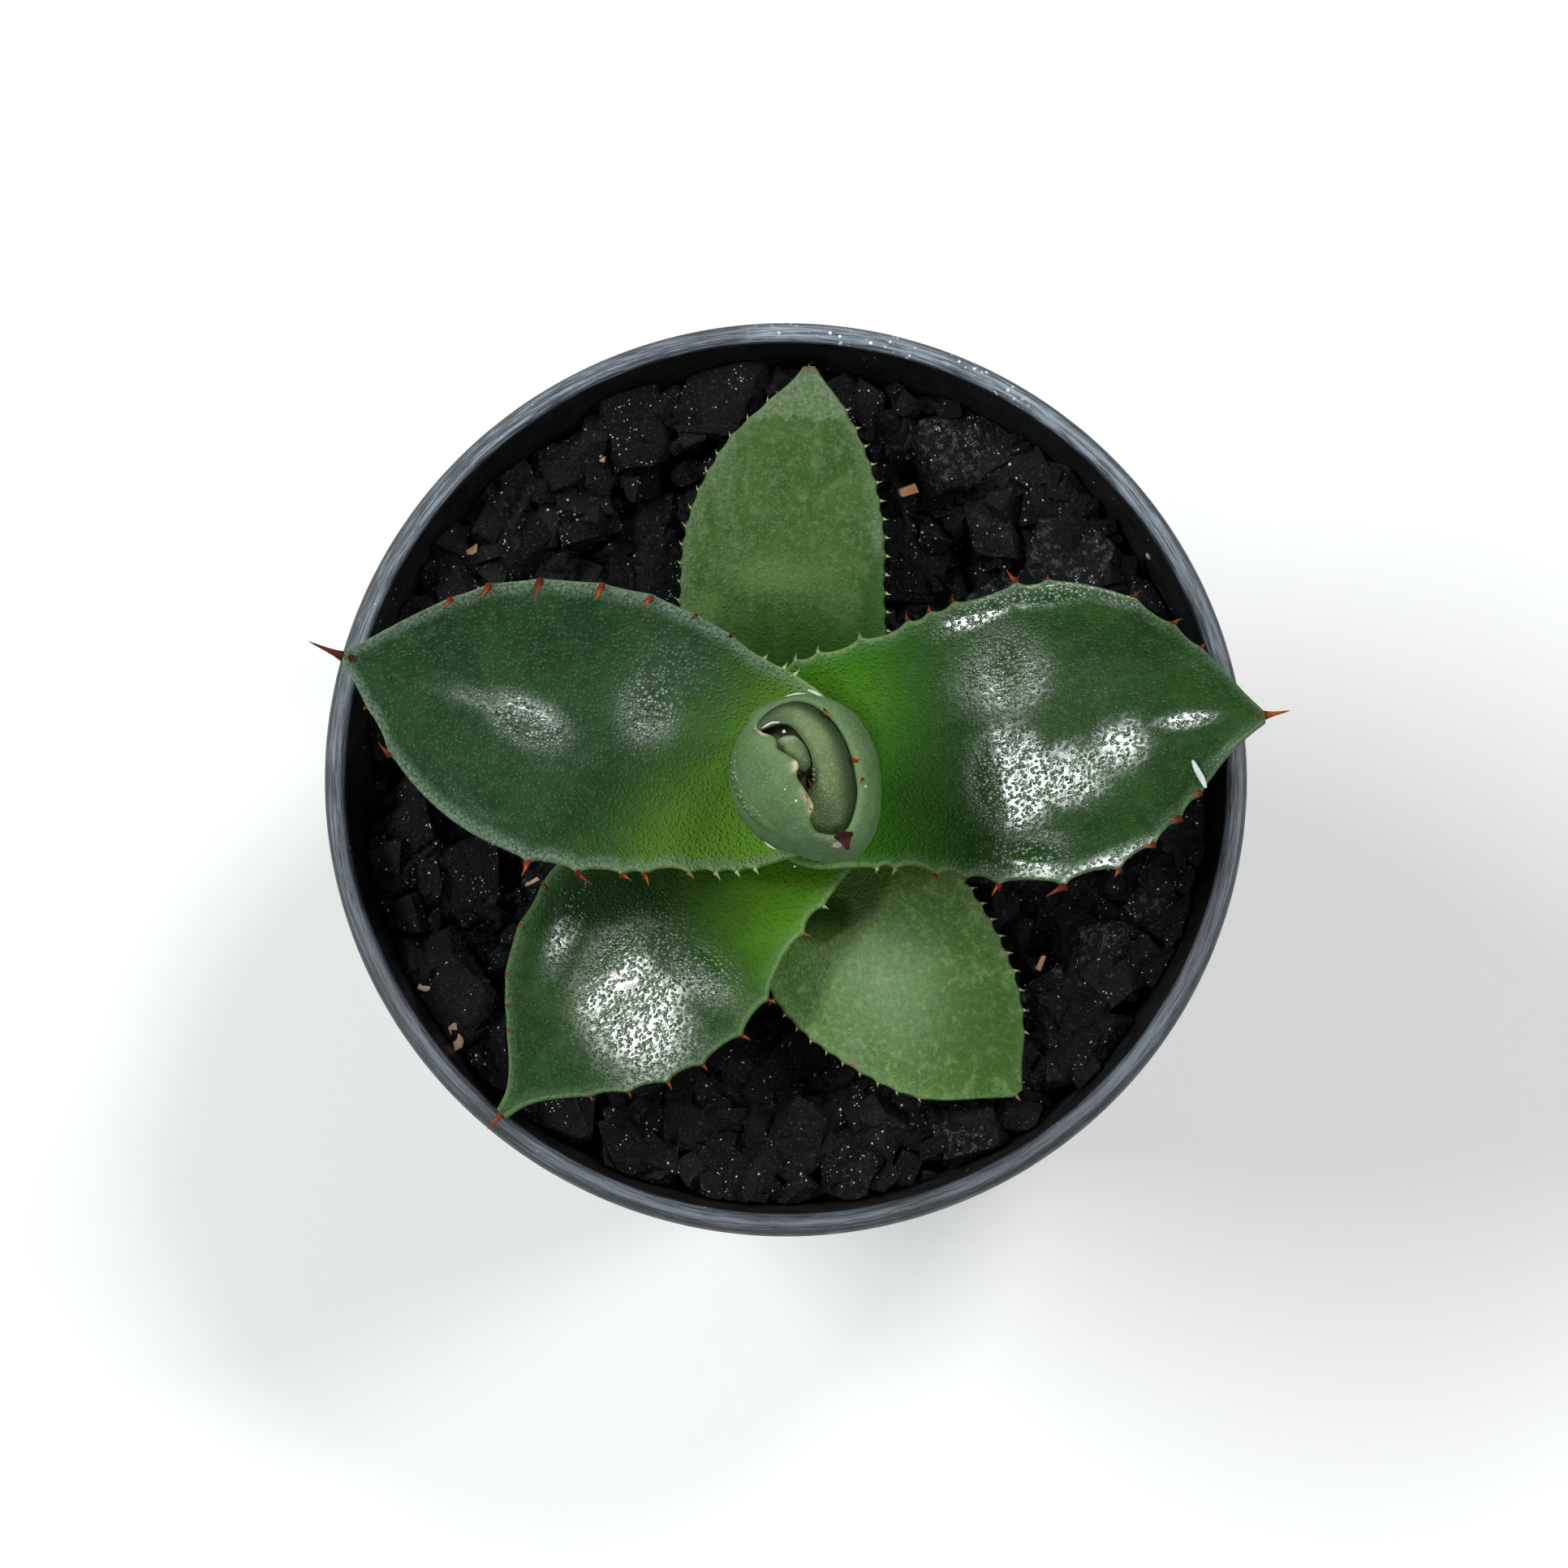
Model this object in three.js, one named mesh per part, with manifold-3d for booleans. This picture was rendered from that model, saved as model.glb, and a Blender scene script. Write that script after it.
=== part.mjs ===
// Potted artichoke agave: a young rosette of five leaves and a rolled bud on a short stem,
// standing in potting mix under charcoal chips, in a round moulded pot.
// Units are millimetres, +Z is up, and the origin is the middle of the pot's base.
import * as THREE from 'three';
import { ConvexGeometry } from 'three/addons/geometries/ConvexGeometry.js';
import { mergeVertices } from 'three/addons/utils/BufferGeometryUtils.js';
import Module from 'manifold-3d';

const wasm = await Module();
wasm.setup();

// Driving dimensions
const POT_HEIGHT = 85;
const RIM_RADIUS = 50;
const MOUTH_RADIUS = 47.6;
const COLLAR_DEPTH = 14;
const FOOT_RADIUS = 36;
const WALL = 1.6;
const FLOOR_TOP = 3.5;
const PAD_RADIUS = 18;
const FOOT_RING_WIDTH = 4;
const CHANNEL_DEPTH = 1.5;
const DRAIN_HOLES = 6;
const DRAIN_RADIUS = 2.5;
const POT_SIDES = 56;

const CLEARANCE = 0.35;
const MIX_DEPTH_BELOW_RIM = 16.5;
const BED_THICKNESS = 2;
const CHIP_COUNT = 92;
const CHIP_SEED = 4682;
const CHIP_MIN = 3.2;
const CHIP_MAX = 6;
const CHIP_SPACING = 0.76;
const CHIP_TRIES = 6000;
const CHIP_TILT = 0.35;
const CHIP_LIFT = 0.25;
const CHIP_EDGE_ROOM = 4;
const CHIP_TOP_BELOW_RIM = 10;

const STEM_X = 1.9;
const STEM_Y = -3.4;
const STEM_RADIUS = 5;
const STEM_FOOT_BELOW_RIM = 38;
const STEM_TOP_ABOVE_RIM = 6.8;
const STEM_SIDES = 18;
const SOCKET_RISE = 1.2;

const LEAF_EDGE = 0.9;
const LEAF_STATIONS = 24;
const LEAF_COLUMNS = 6;
const TOOTH_FOOT = 1;
const TOOTH_SINK = 0.5;
const SPINE_ROOT = 2.2;
const SPINE_SIDES = 8;

const BUD_SIDES = 26;
const BUD_LEVELS = 11;
const BUD_WALL = 1.1;
const BUD_HOLLOW_FLOOR = 5;
const BUD_BASE_ABOVE_RIM = STEM_TOP_ABOVE_RIM + CLEARANCE;

// Each leaf is measured along its azimuth from the stem's axis, u outwards and w to its left.
// outline rows are [u, centre line's w, half width]; rise rows are [u, height over the rim];
// cup rows are [u, how far the margins stand over the centre line].
// Tooth rows are [u, length]; lean is how far a tooth points outwards and along the leaf.
const LEAVES = [
  {
    name: 'leaf_left',
    azimuth: 166.4,
    color: 0x2f4d35,
    outline: [
      [-4, -1.3, 6.6], [0, -1.5, 8.9], [4, -1.2, 10.8], [8, -1, 11.9], [12, -1.2, 13.2], [16, -0.9, 14.3],
      [20, -0.6, 15], [24, -0.2, 15.1], [28, 0.1, 14.7], [32, 0.4, 13.8], [36, 0.5, 12.1], [40, 0.6, 9.2],
      [44, 0.3, 5.2], [46.5, 0.1, 2.5], [48.4, 0, 0.7],
    ],
    rise: [[-4, 5.7], [0, 5.6], [6, 6.7], [15, 10.4], [30, 17.8], [42, 23.8], [48.4, 27.4]],
    cup: [[-4, 2.6], [0, 3.2], [10, 3.2], [30, 2.8], [42, 1.8], [48.4, 0.3]],
    thickness: [[-4, 2.6], [8, 2.9], [30, 2.2], [48.4, 1.2]],
    teethLeft: [
      [3, 0.8], [4.8, 0.8], [6.9, 0.9], [9.6, 0.9], [14, 1.4], [16.2, 1.3], [20.7, 1.3], [25.8, 1.7],
      [41.7, 1.4], [45, 0.8],
    ],
    leanLeft: [0.75, -0.3],
    teethRight: [
      [3.8, 0.7], [5.1, 0.7], [7.3, 0.8], [11.3, 1.2], [15.4, 1.1], [20.3, 1.6], [25.4, 2], [31.5, 2.1],
      [36.3, 1.7], [39.6, 1.2],
    ],
    leanRight: [-0.45, 0.25],
    spine: { length: 4.1, radius: 0.75, rise: 2, swing: -0.5 },
  },
  {
    name: 'leaf_right',
    azimuth: 7.2,
    color: 0x2f5230,
    outline: [
      [-4, 2.4, 9], [0, 3.2, 11], [4, 3.5, 11.8], [8, 3.5, 12.4], [12, 3.2, 13.3], [16, 3, 14.4],
      [20, 2.7, 15.4], [24, 2.5, 16], [28, 2.4, 15.9], [32, 2.3, 15.1], [36, 2.2, 12.8], [40, 2, 9.2],
      [44, 1.5, 4.7], [46.3, 0.6, 2.2], [47.9, 0, 0.7],
    ],
    rise: [[-4, 2.4], [0, 2.2], [6, 3.1], [15, 6.2], [30, 13], [42, 18.5], [47.9, 21.5]],
    cup: [[-4, 2.2], [0, 2.6], [10, 2.8], [30, 2.6], [42, 2], [47.9, 0.3]],
    thickness: [[-4, 2.6], [8, 2.9], [30, 2.2], [47.9, 1.2]],
    teethLeft: [
      [1, 0.8], [3.5, 0.8], [8.1, 1], [13.3, 1.2], [15.7, 0.9], [18.3, 1], [24.9, 1.7], [28.2, 0.8],
      [37, 1.6], [40.4, 1.4], [42.6, 1],
    ],
    leanLeft: [0.5, 0.3],
    teethRight: [
      [6.7, 0.8], [8.6, 0.8], [12.7, 1.1], [15.7, 0.7], [19, 1.4], [25.6, 2], [31.3, 1.4], [35, 1.5],
      [37.9, 1.8], [40.3, 1.2],
    ],
    leanRight: [0.6, -0.5],
    spine: { length: 2.9, radius: 0.7, rise: 0.8, swing: 0 },
  },
  {
    name: 'leaf_back',
    azimuth: 89.2,
    color: 0x4a6a3a,
    outline: [
      [-2, 0, 5.8], [0, 0.1, 6.6], [4, 0.5, 7.9], [8, 1, 9.1], [12, 1.6, 10.2], [16, 2.2, 11],
      [20, 2.5, 11.2], [24, 2.6, 11.1], [28, 2.5, 11], [32, 2.3, 10.3], [36, 1.9, 9], [40, 1.4, 7],
      [44, 0.5, 3.9], [46.3, 0.1, 1.8], [47.9, 0, 0.7],
    ],
    rise: [[-2, -5.1], [0, -5.1], [6, -4.6], [15, -2.4], [30, 0.6], [42, 1.4], [47.9, 1.2]],
    cup: [[-2, 1.5], [10, 1.6], [30, 0.9], [47.9, 0.1]],
    thickness: [[-2, 1.9], [8, 2.3], [30, 1.8], [47.9, 1]],
    teethLeft: Array.from({ length: 15 }, (_, k) => [16 + 2 * k, 0.8]),
    leanLeft: [0.8, 0.3],
    teethRight: Array.from({ length: 15 }, (_, k) => [15 + 2 * k, 0.8]),
    leanRight: [0.8, 0.3],
    spine: { length: 0.9, radius: 0.6, rise: 0.1, swing: 0 },
  },
  {
    name: 'leaf_front_left',
    azimuth: 227.1,
    color: 0x3a6133,
    outline: [
      [-3, 0, 6.6], [0, 0, 8.3], [4, -0.3, 9.2], [8, -0.6, 9.9], [12, -1, 10.9], [16, -1.2, 12.2],
      [20, -1.1, 13.2], [24, -1.1, 13.4], [28, -1, 12.6], [32, -1.1, 11.3], [36, -1, 8.8], [40, -0.6, 5],
      [42.5, -0.3, 2.6], [44.5, -0.1, 1.3], [46.6, 0, 0.7],
    ],
    rise: [[-3, -1.4], [0, -1.4], [6, -0.9], [15, 0.9], [30, 4.6], [42, 7.7], [46.6, 8.7]],
    cup: [[-3, 1.4], [10, 1.5], [20, 0.6], [32, 0.2], [42, 0.6], [46.6, 0.2]],
    thickness: [[-3, 2.6], [8, 2.7], [30, 2.1], [46.6, 1.1]],
    teethLeft: [
      [6.8, 0.8], [10.5, 1.3], [18.4, 1.2], [23.1, 1.2], [28.3, 1.1], [32.2, 1.1], [35.8, 0.9], [38.9, 0.9],
    ],
    leanLeft: [0.8, -0.2],
    teethRight: [[25.9, 1], [30.7, 0.8], [35.5, 0.8], [37.9, 0.8], [39.7, 0.8]],
    leanRight: [0.6, 0.2],
    spine: { length: 2.4, radius: 0.6, rise: 0.6, swing: 0.1 },
  },
  {
    name: 'leaf_front_right',
    azimuth: 306.4,
    color: 0x4f7340,
    outline: [
      [-3, 0, 6], [0, -0.5, 8], [4, -1.2, 9.6], [8, -2, 11], [12, -2.6, 11.9], [16, -2.8, 12.2],
      [20, -2.7, 11.9], [24, -2.4, 11], [28, -2.1, 9.7], [32, -1.9, 7.7], [34.5, -1.5, 5.6],
      [36.8, -0.8, 2.9], [38.8, 0, 0.7],
    ],
    rise: [[-3, -7.9], [0, -7.9], [6, -7.2], [15, -5.2], [30, -3.2], [38.8, -2.6]],
    cup: [[-3, 0.8], [10, 1.1], [30, 0.6], [38.8, 0.1]],
    thickness: [[-3, 1.8], [8, 2.2], [25, 1.8], [38.8, 1]],
    teethLeft: Array.from({ length: 13 }, (_, k) => [10 + 2 * k, 0.8]),
    leanLeft: [0.8, 0.2],
    teethRight: Array.from({ length: 12 }, (_, k) => [11 + 2 * k, 0.8]),
    leanRight: [0.8, 0.2],
    spine: { length: 1.2, radius: 0.55, rise: 0.2, swing: 0 },
  },
];

// Bud: [height over its base, radius], with a beak towards the outer bud leaf's own azimuth
const BUD_PROFILE = [
  [0, 4.6], [1.5, 5.6], [4, 6.7], [8, 7.4], [12, 7.7], [16, 7.7], [19.5, 7.3], [22.5, 6.5], [25, 5.3],
  [27, 3.6], [28.2, 1.8],
];
const BEAK_AZIMUTH = 300;
const BEAK_SPREAD = 34;
const BEAK_REACH = 0.38;
// The mouth between the two margins of the outer bud leaf, from the stem's axis
const BUD_MOUTH = [
  [3, -7.4], [4.9, -5.9], [5.5, -3.8], [5.3, -1.3], [4.8, 0.8], [4, 2.8], [2.7, 4.5], [1.2, 5.7], [-0.6, 6.2],
  [-2.4, 5.9], [-3.9, 4.7], [-4.9, 3.4], [-3.6, 3.2], [-2.6, 2], [-1.9, 0.4], [-0.7, -0.9], [-0.2, -3.3],
  [0.4, -5.2], [1, -7],
];
const MOUTH_FLOOR = 19;
const budBase = POT_HEIGHT + BUD_BASE_ABOVE_RIM;
const budTop = BUD_PROFILE.at(-1)[0];
// Teeth on those margins are [x, y, length], and the spine ends the beak
const BUD_TEETH = [[5.4, -1.3, 0.9], [5.5, -3.8, 0.8], [2.9, 4.4, 0.8], [-1.2, 0, 0.8], [-0.3, -3.3, 0.8]];
const BUD_SPINE = { x: 3.4, y: -8, height: 2.4, radius: 0.8 };
const HEART_X = -1.9;
const HEART_Y = 3.1;
const HEART_RADIUS = 2;
const HEART_BASE = 12;
const HEART_HEIGHT = 11.6;
const HEART_SIDES = 16;

// Smooth curve through [position, value, ...] rows; column picks the value
function along(rows, position, column = 1) {
  const last = rows.length - 1;
  let k = 0;
  while (k < last - 1 && position > rows[k + 1][0]) k += 1;
  const [a, b] = [rows[k], rows[k + 1]];
  const before = rows[Math.max(k - 1, 0)];
  const after = rows[Math.min(k + 2, last)];
  const span = b[0] - a[0];
  const t = Math.min(Math.max((position - a[0]) / span, 0), 1);
  const slopeA = ((b[column] - before[column]) / (b[0] - before[0])) * span;
  const slopeB = ((after[column] - a[column]) / (after[0] - a[0])) * span;
  const t2 = t * t;
  const t3 = t2 * t;
  return (2 * t3 - 3 * t2 + 1) * a[column] + (t3 - 2 * t2 + t) * slopeA
    + (3 * t2 - 2 * t3) * b[column] + (t3 - t2) * slopeB;
}

// A repeatable stream of numbers from 0 to 1
function numberStream(seed) {
  let state = seed;
  return () => {
    state = (state + 0x6d2b79f5) | 0;
    let t = Math.imul(state ^ (state >>> 15), 1 | state);
    t = (t + Math.imul(t ^ (t >>> 7), 61 | t)) ^ t;
    return ((t ^ (t >>> 14)) >>> 0) / 4294967296;
  };
}

function solidOf(geometry) {
  geometry.deleteAttribute('normal');
  geometry.deleteAttribute('uv');
  const merged = mergeVertices(geometry, 1e-4);
  return new wasm.Manifold(new wasm.Mesh({
    numProp: 3,
    vertProperties: Float32Array.from(merged.attributes.position.array),
    triVerts: Uint32Array.from(merged.index.array),
  }));
}

function geometryOf(solid) {
  const mesh = solid.getMesh();
  const geometry = new THREE.BufferGeometry();
  geometry.setAttribute('position', new THREE.BufferAttribute(mesh.vertProperties, 3));
  geometry.setIndex(new THREE.BufferAttribute(mesh.triVerts, 1));
  geometry.computeVertexNormals();
  return geometry;
}

function indexed(points, triangles) {
  const geometry = new THREE.BufferGeometry();
  geometry.setAttribute('position', new THREE.Float32BufferAttribute(points.flat(), 3));
  geometry.setIndex(triangles.flat());
  return geometry;
}

// Closed body from rings of equal count, bottom ring first, each running anticlockwise
function stackedRings(rings) {
  const count = rings[0].length;
  const points = rings.flat();
  const triangles = [];
  rings.slice(1).forEach((_, k) => {
    for (let j = 0; j < count; j += 1) {
      const [a, b] = [k * count + j, k * count + ((j + 1) % count)];
      triangles.push([a, b, b + count], [a, b + count, a + count]);
    }
  });
  const middle = (ring) => [0, 1, 2].map((axis) => ring.reduce((sum, p) => sum + p[axis], 0) / count);
  const bottom = points.push(middle(rings[0])) - 1;
  const top = points.push(middle(rings.at(-1))) - 1;
  const start = (rings.length - 1) * count;
  for (let j = 0; j < count; j += 1) {
    const next = (j + 1) % count;
    triangles.push([bottom, next, j], [top, start + j, start + next]);
  }
  return indexed(points, triangles);
}

// Closed body between a top and a bottom grid of points, split into triangles alike on both
function thickSheet(top, bottom) {
  const rows = top.length;
  const columns = top[0].length;
  const points = [...top.flat(), ...bottom.flat()];
  const under = rows * columns;
  const at = (i, j) => i * columns + j;
  const triangles = [];
  for (let i = 0; i < rows - 1; i += 1) {
    for (let j = 0; j < columns - 1; j += 1) {
      const [a, b, c, d] = [at(i, j), at(i + 1, j), at(i + 1, j + 1), at(i, j + 1)];
      triangles.push([a, b, c], [a, c, d]);
      triangles.push([under + a, under + c, under + b], [under + a, under + d, under + c]);
    }
  }
  const strip = (from, to) => triangles.push([from, under + from, under + to], [from, under + to, to]);
  for (let i = 0; i < rows - 1; i += 1) {
    strip(at(i, 0), at(i + 1, 0));
    strip(at(i + 1, columns - 1), at(i, columns - 1));
  }
  for (let j = 0; j < columns - 1; j += 1) {
    strip(at(0, j + 1), at(0, j));
    strip(at(rows - 1, j), at(rows - 1, j + 1));
  }
  return indexed(points, triangles);
}

// Round body on the Z axis from a closed or axis-to-axis profile of [radius, height]
function turned(profile, sides) {
  const geometry = new THREE.LatheGeometry(profile.map(([r, z]) => new THREE.Vector2(r, z)), sides);
  geometry.rotateX(Math.PI / 2);
  return solidOf(geometry);
}

function post(radius, bottom, top, x, y, sides) {
  const geometry = new THREE.CylinderGeometry(radius, radius, top - bottom, sides);
  geometry.rotateX(Math.PI / 2);
  geometry.translate(x, y, (top + bottom) / 2);
  return solidOf(geometry);
}

function named(name, solid, color, roughness) {
  const material = new THREE.MeshStandardMaterial({ color, roughness, metalness: 0 });
  const mesh = new THREE.Mesh(geometryOf(solid), material);
  mesh.name = name;
  return mesh;
}

// Radius of the pot's bore at a height
function innerRadius(height) {
  const share = (height - FLOOR_TOP) / (POT_HEIGHT - FLOOR_TOP);
  return FOOT_RADIUS - WALL + share * (MOUTH_RADIUS - FOOT_RADIUS + WALL);
}

function makePot() {
  const step = POT_HEIGHT - COLLAR_DEPTH;
  const shell = turned([
    [0, 0],
    [PAD_RADIUS, 0],
    [PAD_RADIUS + 1, CHANNEL_DEPTH],
    [FOOT_RADIUS - FOOT_RING_WIDTH - 1, CHANNEL_DEPTH],
    [FOOT_RADIUS - FOOT_RING_WIDTH, 0],
    [FOOT_RADIUS - 1, 0],
    [FOOT_RADIUS, 1],
    [innerRadius(step) + WALL, step - 1],
    [RIM_RADIUS - 0.7, step],
    [RIM_RADIUS, POT_HEIGHT - 1.4],
    [RIM_RADIUS - 0.3, POT_HEIGHT - 0.5],
    [RIM_RADIUS - 1, POT_HEIGHT],
    [MOUTH_RADIUS + 0.5, POT_HEIGHT],
    [MOUTH_RADIUS, POT_HEIGHT - 0.6],
    [innerRadius(step), step],
    [innerRadius(FLOOR_TOP + 2), FLOOR_TOP + 2],
    [innerRadius(FLOOR_TOP) - 2, FLOOR_TOP],
    [0, FLOOR_TOP],
  ], POT_SIDES);
  const ring = (PAD_RADIUS + FOOT_RADIUS - FOOT_RING_WIDTH) / 2;
  return Array.from({ length: DRAIN_HOLES }, (_, k) => (k / DRAIN_HOLES) * 2 * Math.PI).reduce(
    (pot, turn) => pot.subtract(
      post(DRAIN_RADIUS, -1, FLOOR_TOP + 1, ring * Math.cos(turn), ring * Math.sin(turn), 12),
    ),
    shell,
  );
}

// Room for the stem, through everything that it passes
function stemHole() {
  const foot = POT_HEIGHT - STEM_FOOT_BELOW_RIM - CLEARANCE;
  const top = POT_HEIGHT + STEM_TOP_ABOVE_RIM + SOCKET_RISE;
  return post(STEM_RADIUS + CLEARANCE, foot, top, STEM_X, STEM_Y, STEM_SIDES);
}

// Round plug that fills the pot's bore between two heights, clear of the wall
function boreFill(bottom, top) {
  return turned([
    [0, bottom],
    [innerRadius(bottom) - CLEARANCE, bottom],
    [innerRadius(top) - CLEARANCE, top],
    [0, top],
  ], 48);
}

function makePottingMix() {
  const top = POT_HEIGHT - MIX_DEPTH_BELOW_RIM;
  const bottom = FLOOR_TOP + CLEARANCE;
  return turned([
    [0, bottom],
    [innerRadius(bottom) - 2.4, bottom],
    [innerRadius(bottom + 2.4) - CLEARANCE, bottom + 2.4],
    [innerRadius(top) - CLEARANCE, top],
    [0, top],
  ], 48).subtract(stemHole());
}

// A broken chip is the hull of a skewed block's corners
function chipSolid(random, x, y, z, size) {
  const half = [size, size * (0.62 + 0.3 * random()), size * (0.42 + 0.2 * random())];
  const tilt = () => CHIP_TILT * (2 * random() - 1);
  const turn = new THREE.Euler(tilt(), tilt(), 2 * Math.PI * random());
  const corners = [];
  for (let k = 0; k < 8; k += 1) {
    const signs = [k & 1 ? 1 : -1, k & 2 ? 1 : -1, k & 4 ? 1 : -1];
    const point = signs.map((sign, axis) => sign * half[axis] * (0.55 + 0.6 * random()));
    corners.push(new THREE.Vector3(...point).applyEuler(turn).add(new THREE.Vector3(x, y, z)));
  }
  return solidOf(new ConvexGeometry(corners));
}

function chipPlaces(random) {
  const places = [];
  const reach = MOUTH_RADIUS - CHIP_EDGE_ROOM;
  for (let tries = 0; tries < CHIP_TRIES && places.length < CHIP_COUNT; tries += 1) {
    const x = reach * (2 * random() - 1);
    const y = reach * (2 * random() - 1);
    const size = CHIP_MIN + (CHIP_MAX - CHIP_MIN) * random();
    const inside = x * x + y * y < reach * reach;
    const clear = places.every(
      (p) => (p.x - x) ** 2 + (p.y - y) ** 2 > (CHIP_SPACING * (p.size + size)) ** 2,
    );
    if (inside && clear) places.push({ x, y, size });
  }
  return places;
}

function makeChips() {
  const bottom = POT_HEIGHT - MIX_DEPTH_BELOW_RIM + CLEARANCE;
  const bedTop = bottom + BED_THICKNESS;
  const random = numberStream(CHIP_SEED);
  let chips = boreFill(bottom, bedTop);
  for (const { x, y, size } of chipPlaces(random)) {
    chips = chips.add(chipSolid(random, x, y, bedTop + CHIP_LIFT * size, size));
  }
  const trimmed = chips
    .intersect(boreFill(bottom, POT_HEIGHT - CHIP_TOP_BELOW_RIM))
    .subtract(stemHole());
  // The outermost shell alone, so that hollows sealed between chips are filled
  return trimmed.decompose().reduce((outer, shell) => (shell.volume() > outer.volume() ? shell : outer));
}

function makeStem() {
  const foot = POT_HEIGHT - STEM_FOOT_BELOW_RIM;
  const top = POT_HEIGHT + STEM_TOP_ABOVE_RIM;
  const stem = turned([
    [0, foot],
    [STEM_RADIUS - 2, foot],
    [STEM_RADIUS - 0.6, foot + 4],
    [STEM_RADIUS, foot + 10],
    [STEM_RADIUS, top - 1],
    [STEM_RADIUS - 1, top],
    [0, top],
  ], STEM_SIDES);
  return stem.translate(STEM_X, STEM_Y, 0);
}

// Blade of one leaf as functions of u and of v, which runs from 1 at the left margin to -1
function bladeOf(leaf) {
  const turn = THREE.MathUtils.degToRad(leaf.azimuth);
  const place = (u, w, z) => [
    STEM_X + u * Math.cos(turn) - w * Math.sin(turn),
    STEM_Y + u * Math.sin(turn) + w * Math.cos(turn),
    POT_HEIGHT + z,
  ];
  const tip = leaf.outline.at(-1)[0];
  const face = (u, v) => {
    const w = along(leaf.outline, u) + v * along(leaf.outline, u, 2);
    const fold = 2 - 0.7 * THREE.MathUtils.smoothstep(u, tip - 16, tip);
    return [u, w, along(leaf.rise, u) + along(leaf.cup, u) * Math.abs(v) ** fold];
  };
  const depth = (u, v) => LEAF_EDGE + (along(leaf.thickness, u) - LEAF_EDGE) * (1 - v * v);
  return { place, face, depth, tip };
}

// A tooth is a small hooked pyramid on a broad foot, sunk into the margin
function toothSolid(blade, u, side, length, [outward, forward]) {
  const [, w, z] = blade.face(u, side);
  const [, ahead] = blade.face(Math.min(u + 0.8, blade.tip), side);
  const [, behind] = blade.face(u - 0.8, side);
  const heading = Math.atan2(ahead - behind, 1.6);
  const forwardStep = [Math.cos(heading), Math.sin(heading)];
  const outwardStep = [-side * Math.sin(heading), side * Math.cos(heading)];
  const upward = Math.sqrt(1 - outward * outward - forward * forward);
  const middle = z - LEAF_EDGE / 2;
  const point = (f, o, up) => new THREE.Vector3(...blade.place(
    u + f * forwardStep[0] + o * outwardStep[0],
    w + f * forwardStep[1] + o * outwardStep[1],
    middle + up,
  ));
  const foot = TOOTH_FOOT * Math.sqrt(length);
  return solidOf(new ConvexGeometry([
    point(-foot, -TOOTH_SINK, 0),
    point(foot, -TOOTH_SINK, 0),
    point(0, -TOOTH_SINK, -TOOTH_FOOT / 4),
    point(0, -TOOTH_SINK, TOOTH_FOOT / 4),
    point(forward * length, outward * length, upward * length),
  ]));
}

// The terminal spine is a fine cone that leaves the blade's tip
function spineSolid(blade, { length, radius, rise, swing }) {
  const rings = [
    [blade.tip - SPINE_ROOT, radius * 0.75],
    [blade.tip, radius],
    [blade.tip + 0.55 * length, radius * 0.5],
    [blade.tip + length, 0.08],
  ];
  return solidOf(stackedRings(rings.map(([u, r]) => {
    const share = Math.max(u - blade.tip, 0) / length;
    const [, w, z] = blade.face(Math.min(u, blade.tip), 0);
    return Array.from({ length: SPINE_SIDES }, (_, k) => {
      const turn = (k / SPINE_SIDES) * 2 * Math.PI;
      const across = w + swing * share + r * Math.cos(turn);
      return blade.place(u, across, z - LEAF_EDGE / 2 + rise * share * share + r * Math.sin(turn));
    });
  })));
}

function makeLeaf(leaf) {
  const blade = bladeOf(leaf);
  const start = leaf.outline[0][0];
  const top = [];
  const bottom = [];
  for (let i = 0; i <= LEAF_STATIONS; i += 1) {
    const share = i / LEAF_STATIONS;
    const u = start + (blade.tip - start) * (share + 0.35 * share * (1 - share));
    const columns = Array.from(
      { length: LEAF_COLUMNS + 1 },
      (_, j) => Math.sin(((2 * j) / LEAF_COLUMNS - 1) * (Math.PI / 2)),
    );
    top.push(columns.map((v) => blade.place(...blade.face(u, v))));
    bottom.push(columns.map((v) => {
      const [, w, z] = blade.face(u, v);
      return blade.place(u, w, z - blade.depth(u, v));
    }));
  }
  let solid = solidOf(thickSheet(top, bottom));
  solid = solid.add(spineSolid(blade, leaf.spine));
  for (const [u, length] of leaf.teethLeft) {
    solid = solid.add(toothSolid(blade, u, 1, length, leaf.leanLeft));
  }
  for (const [u, length] of leaf.teethRight) {
    solid = solid.add(toothSolid(blade, u, -1, length, leaf.leanRight));
  }
  return solid.subtract(stemHole());
}

// Ring of the bud's outline at a height over its base, drawn in by inset
function budRing(height, inset) {
  return Array.from({ length: BUD_SIDES }, (_, k) => {
    const degrees = (k / BUD_SIDES) * 360;
    const away = ((degrees - BEAK_AZIMUTH + 540) % 360) - 180;
    const lift = THREE.MathUtils.smoothstep(height, 4, 20);
    const beak = 1 + BEAK_REACH * lift * Math.exp(-((away / BEAK_SPREAD) ** 2));
    const radius = Math.max(along(BUD_PROFILE, height) * beak - inset, 0.3);
    const turn = THREE.MathUtils.degToRad(degrees);
    return [
      STEM_X + radius * Math.cos(turn),
      STEM_Y + radius * Math.sin(turn),
      budBase + height,
    ];
  });
}

function budBody(inset, bottom, top) {
  const heights = Array.from(
    { length: BUD_LEVELS + 1 },
    (_, k) => bottom + (top - bottom) * Math.sin((k / BUD_LEVELS) * (Math.PI / 2)),
  );
  return solidOf(stackedRings(heights.map((height) => budRing(height, inset))));
}

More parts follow.
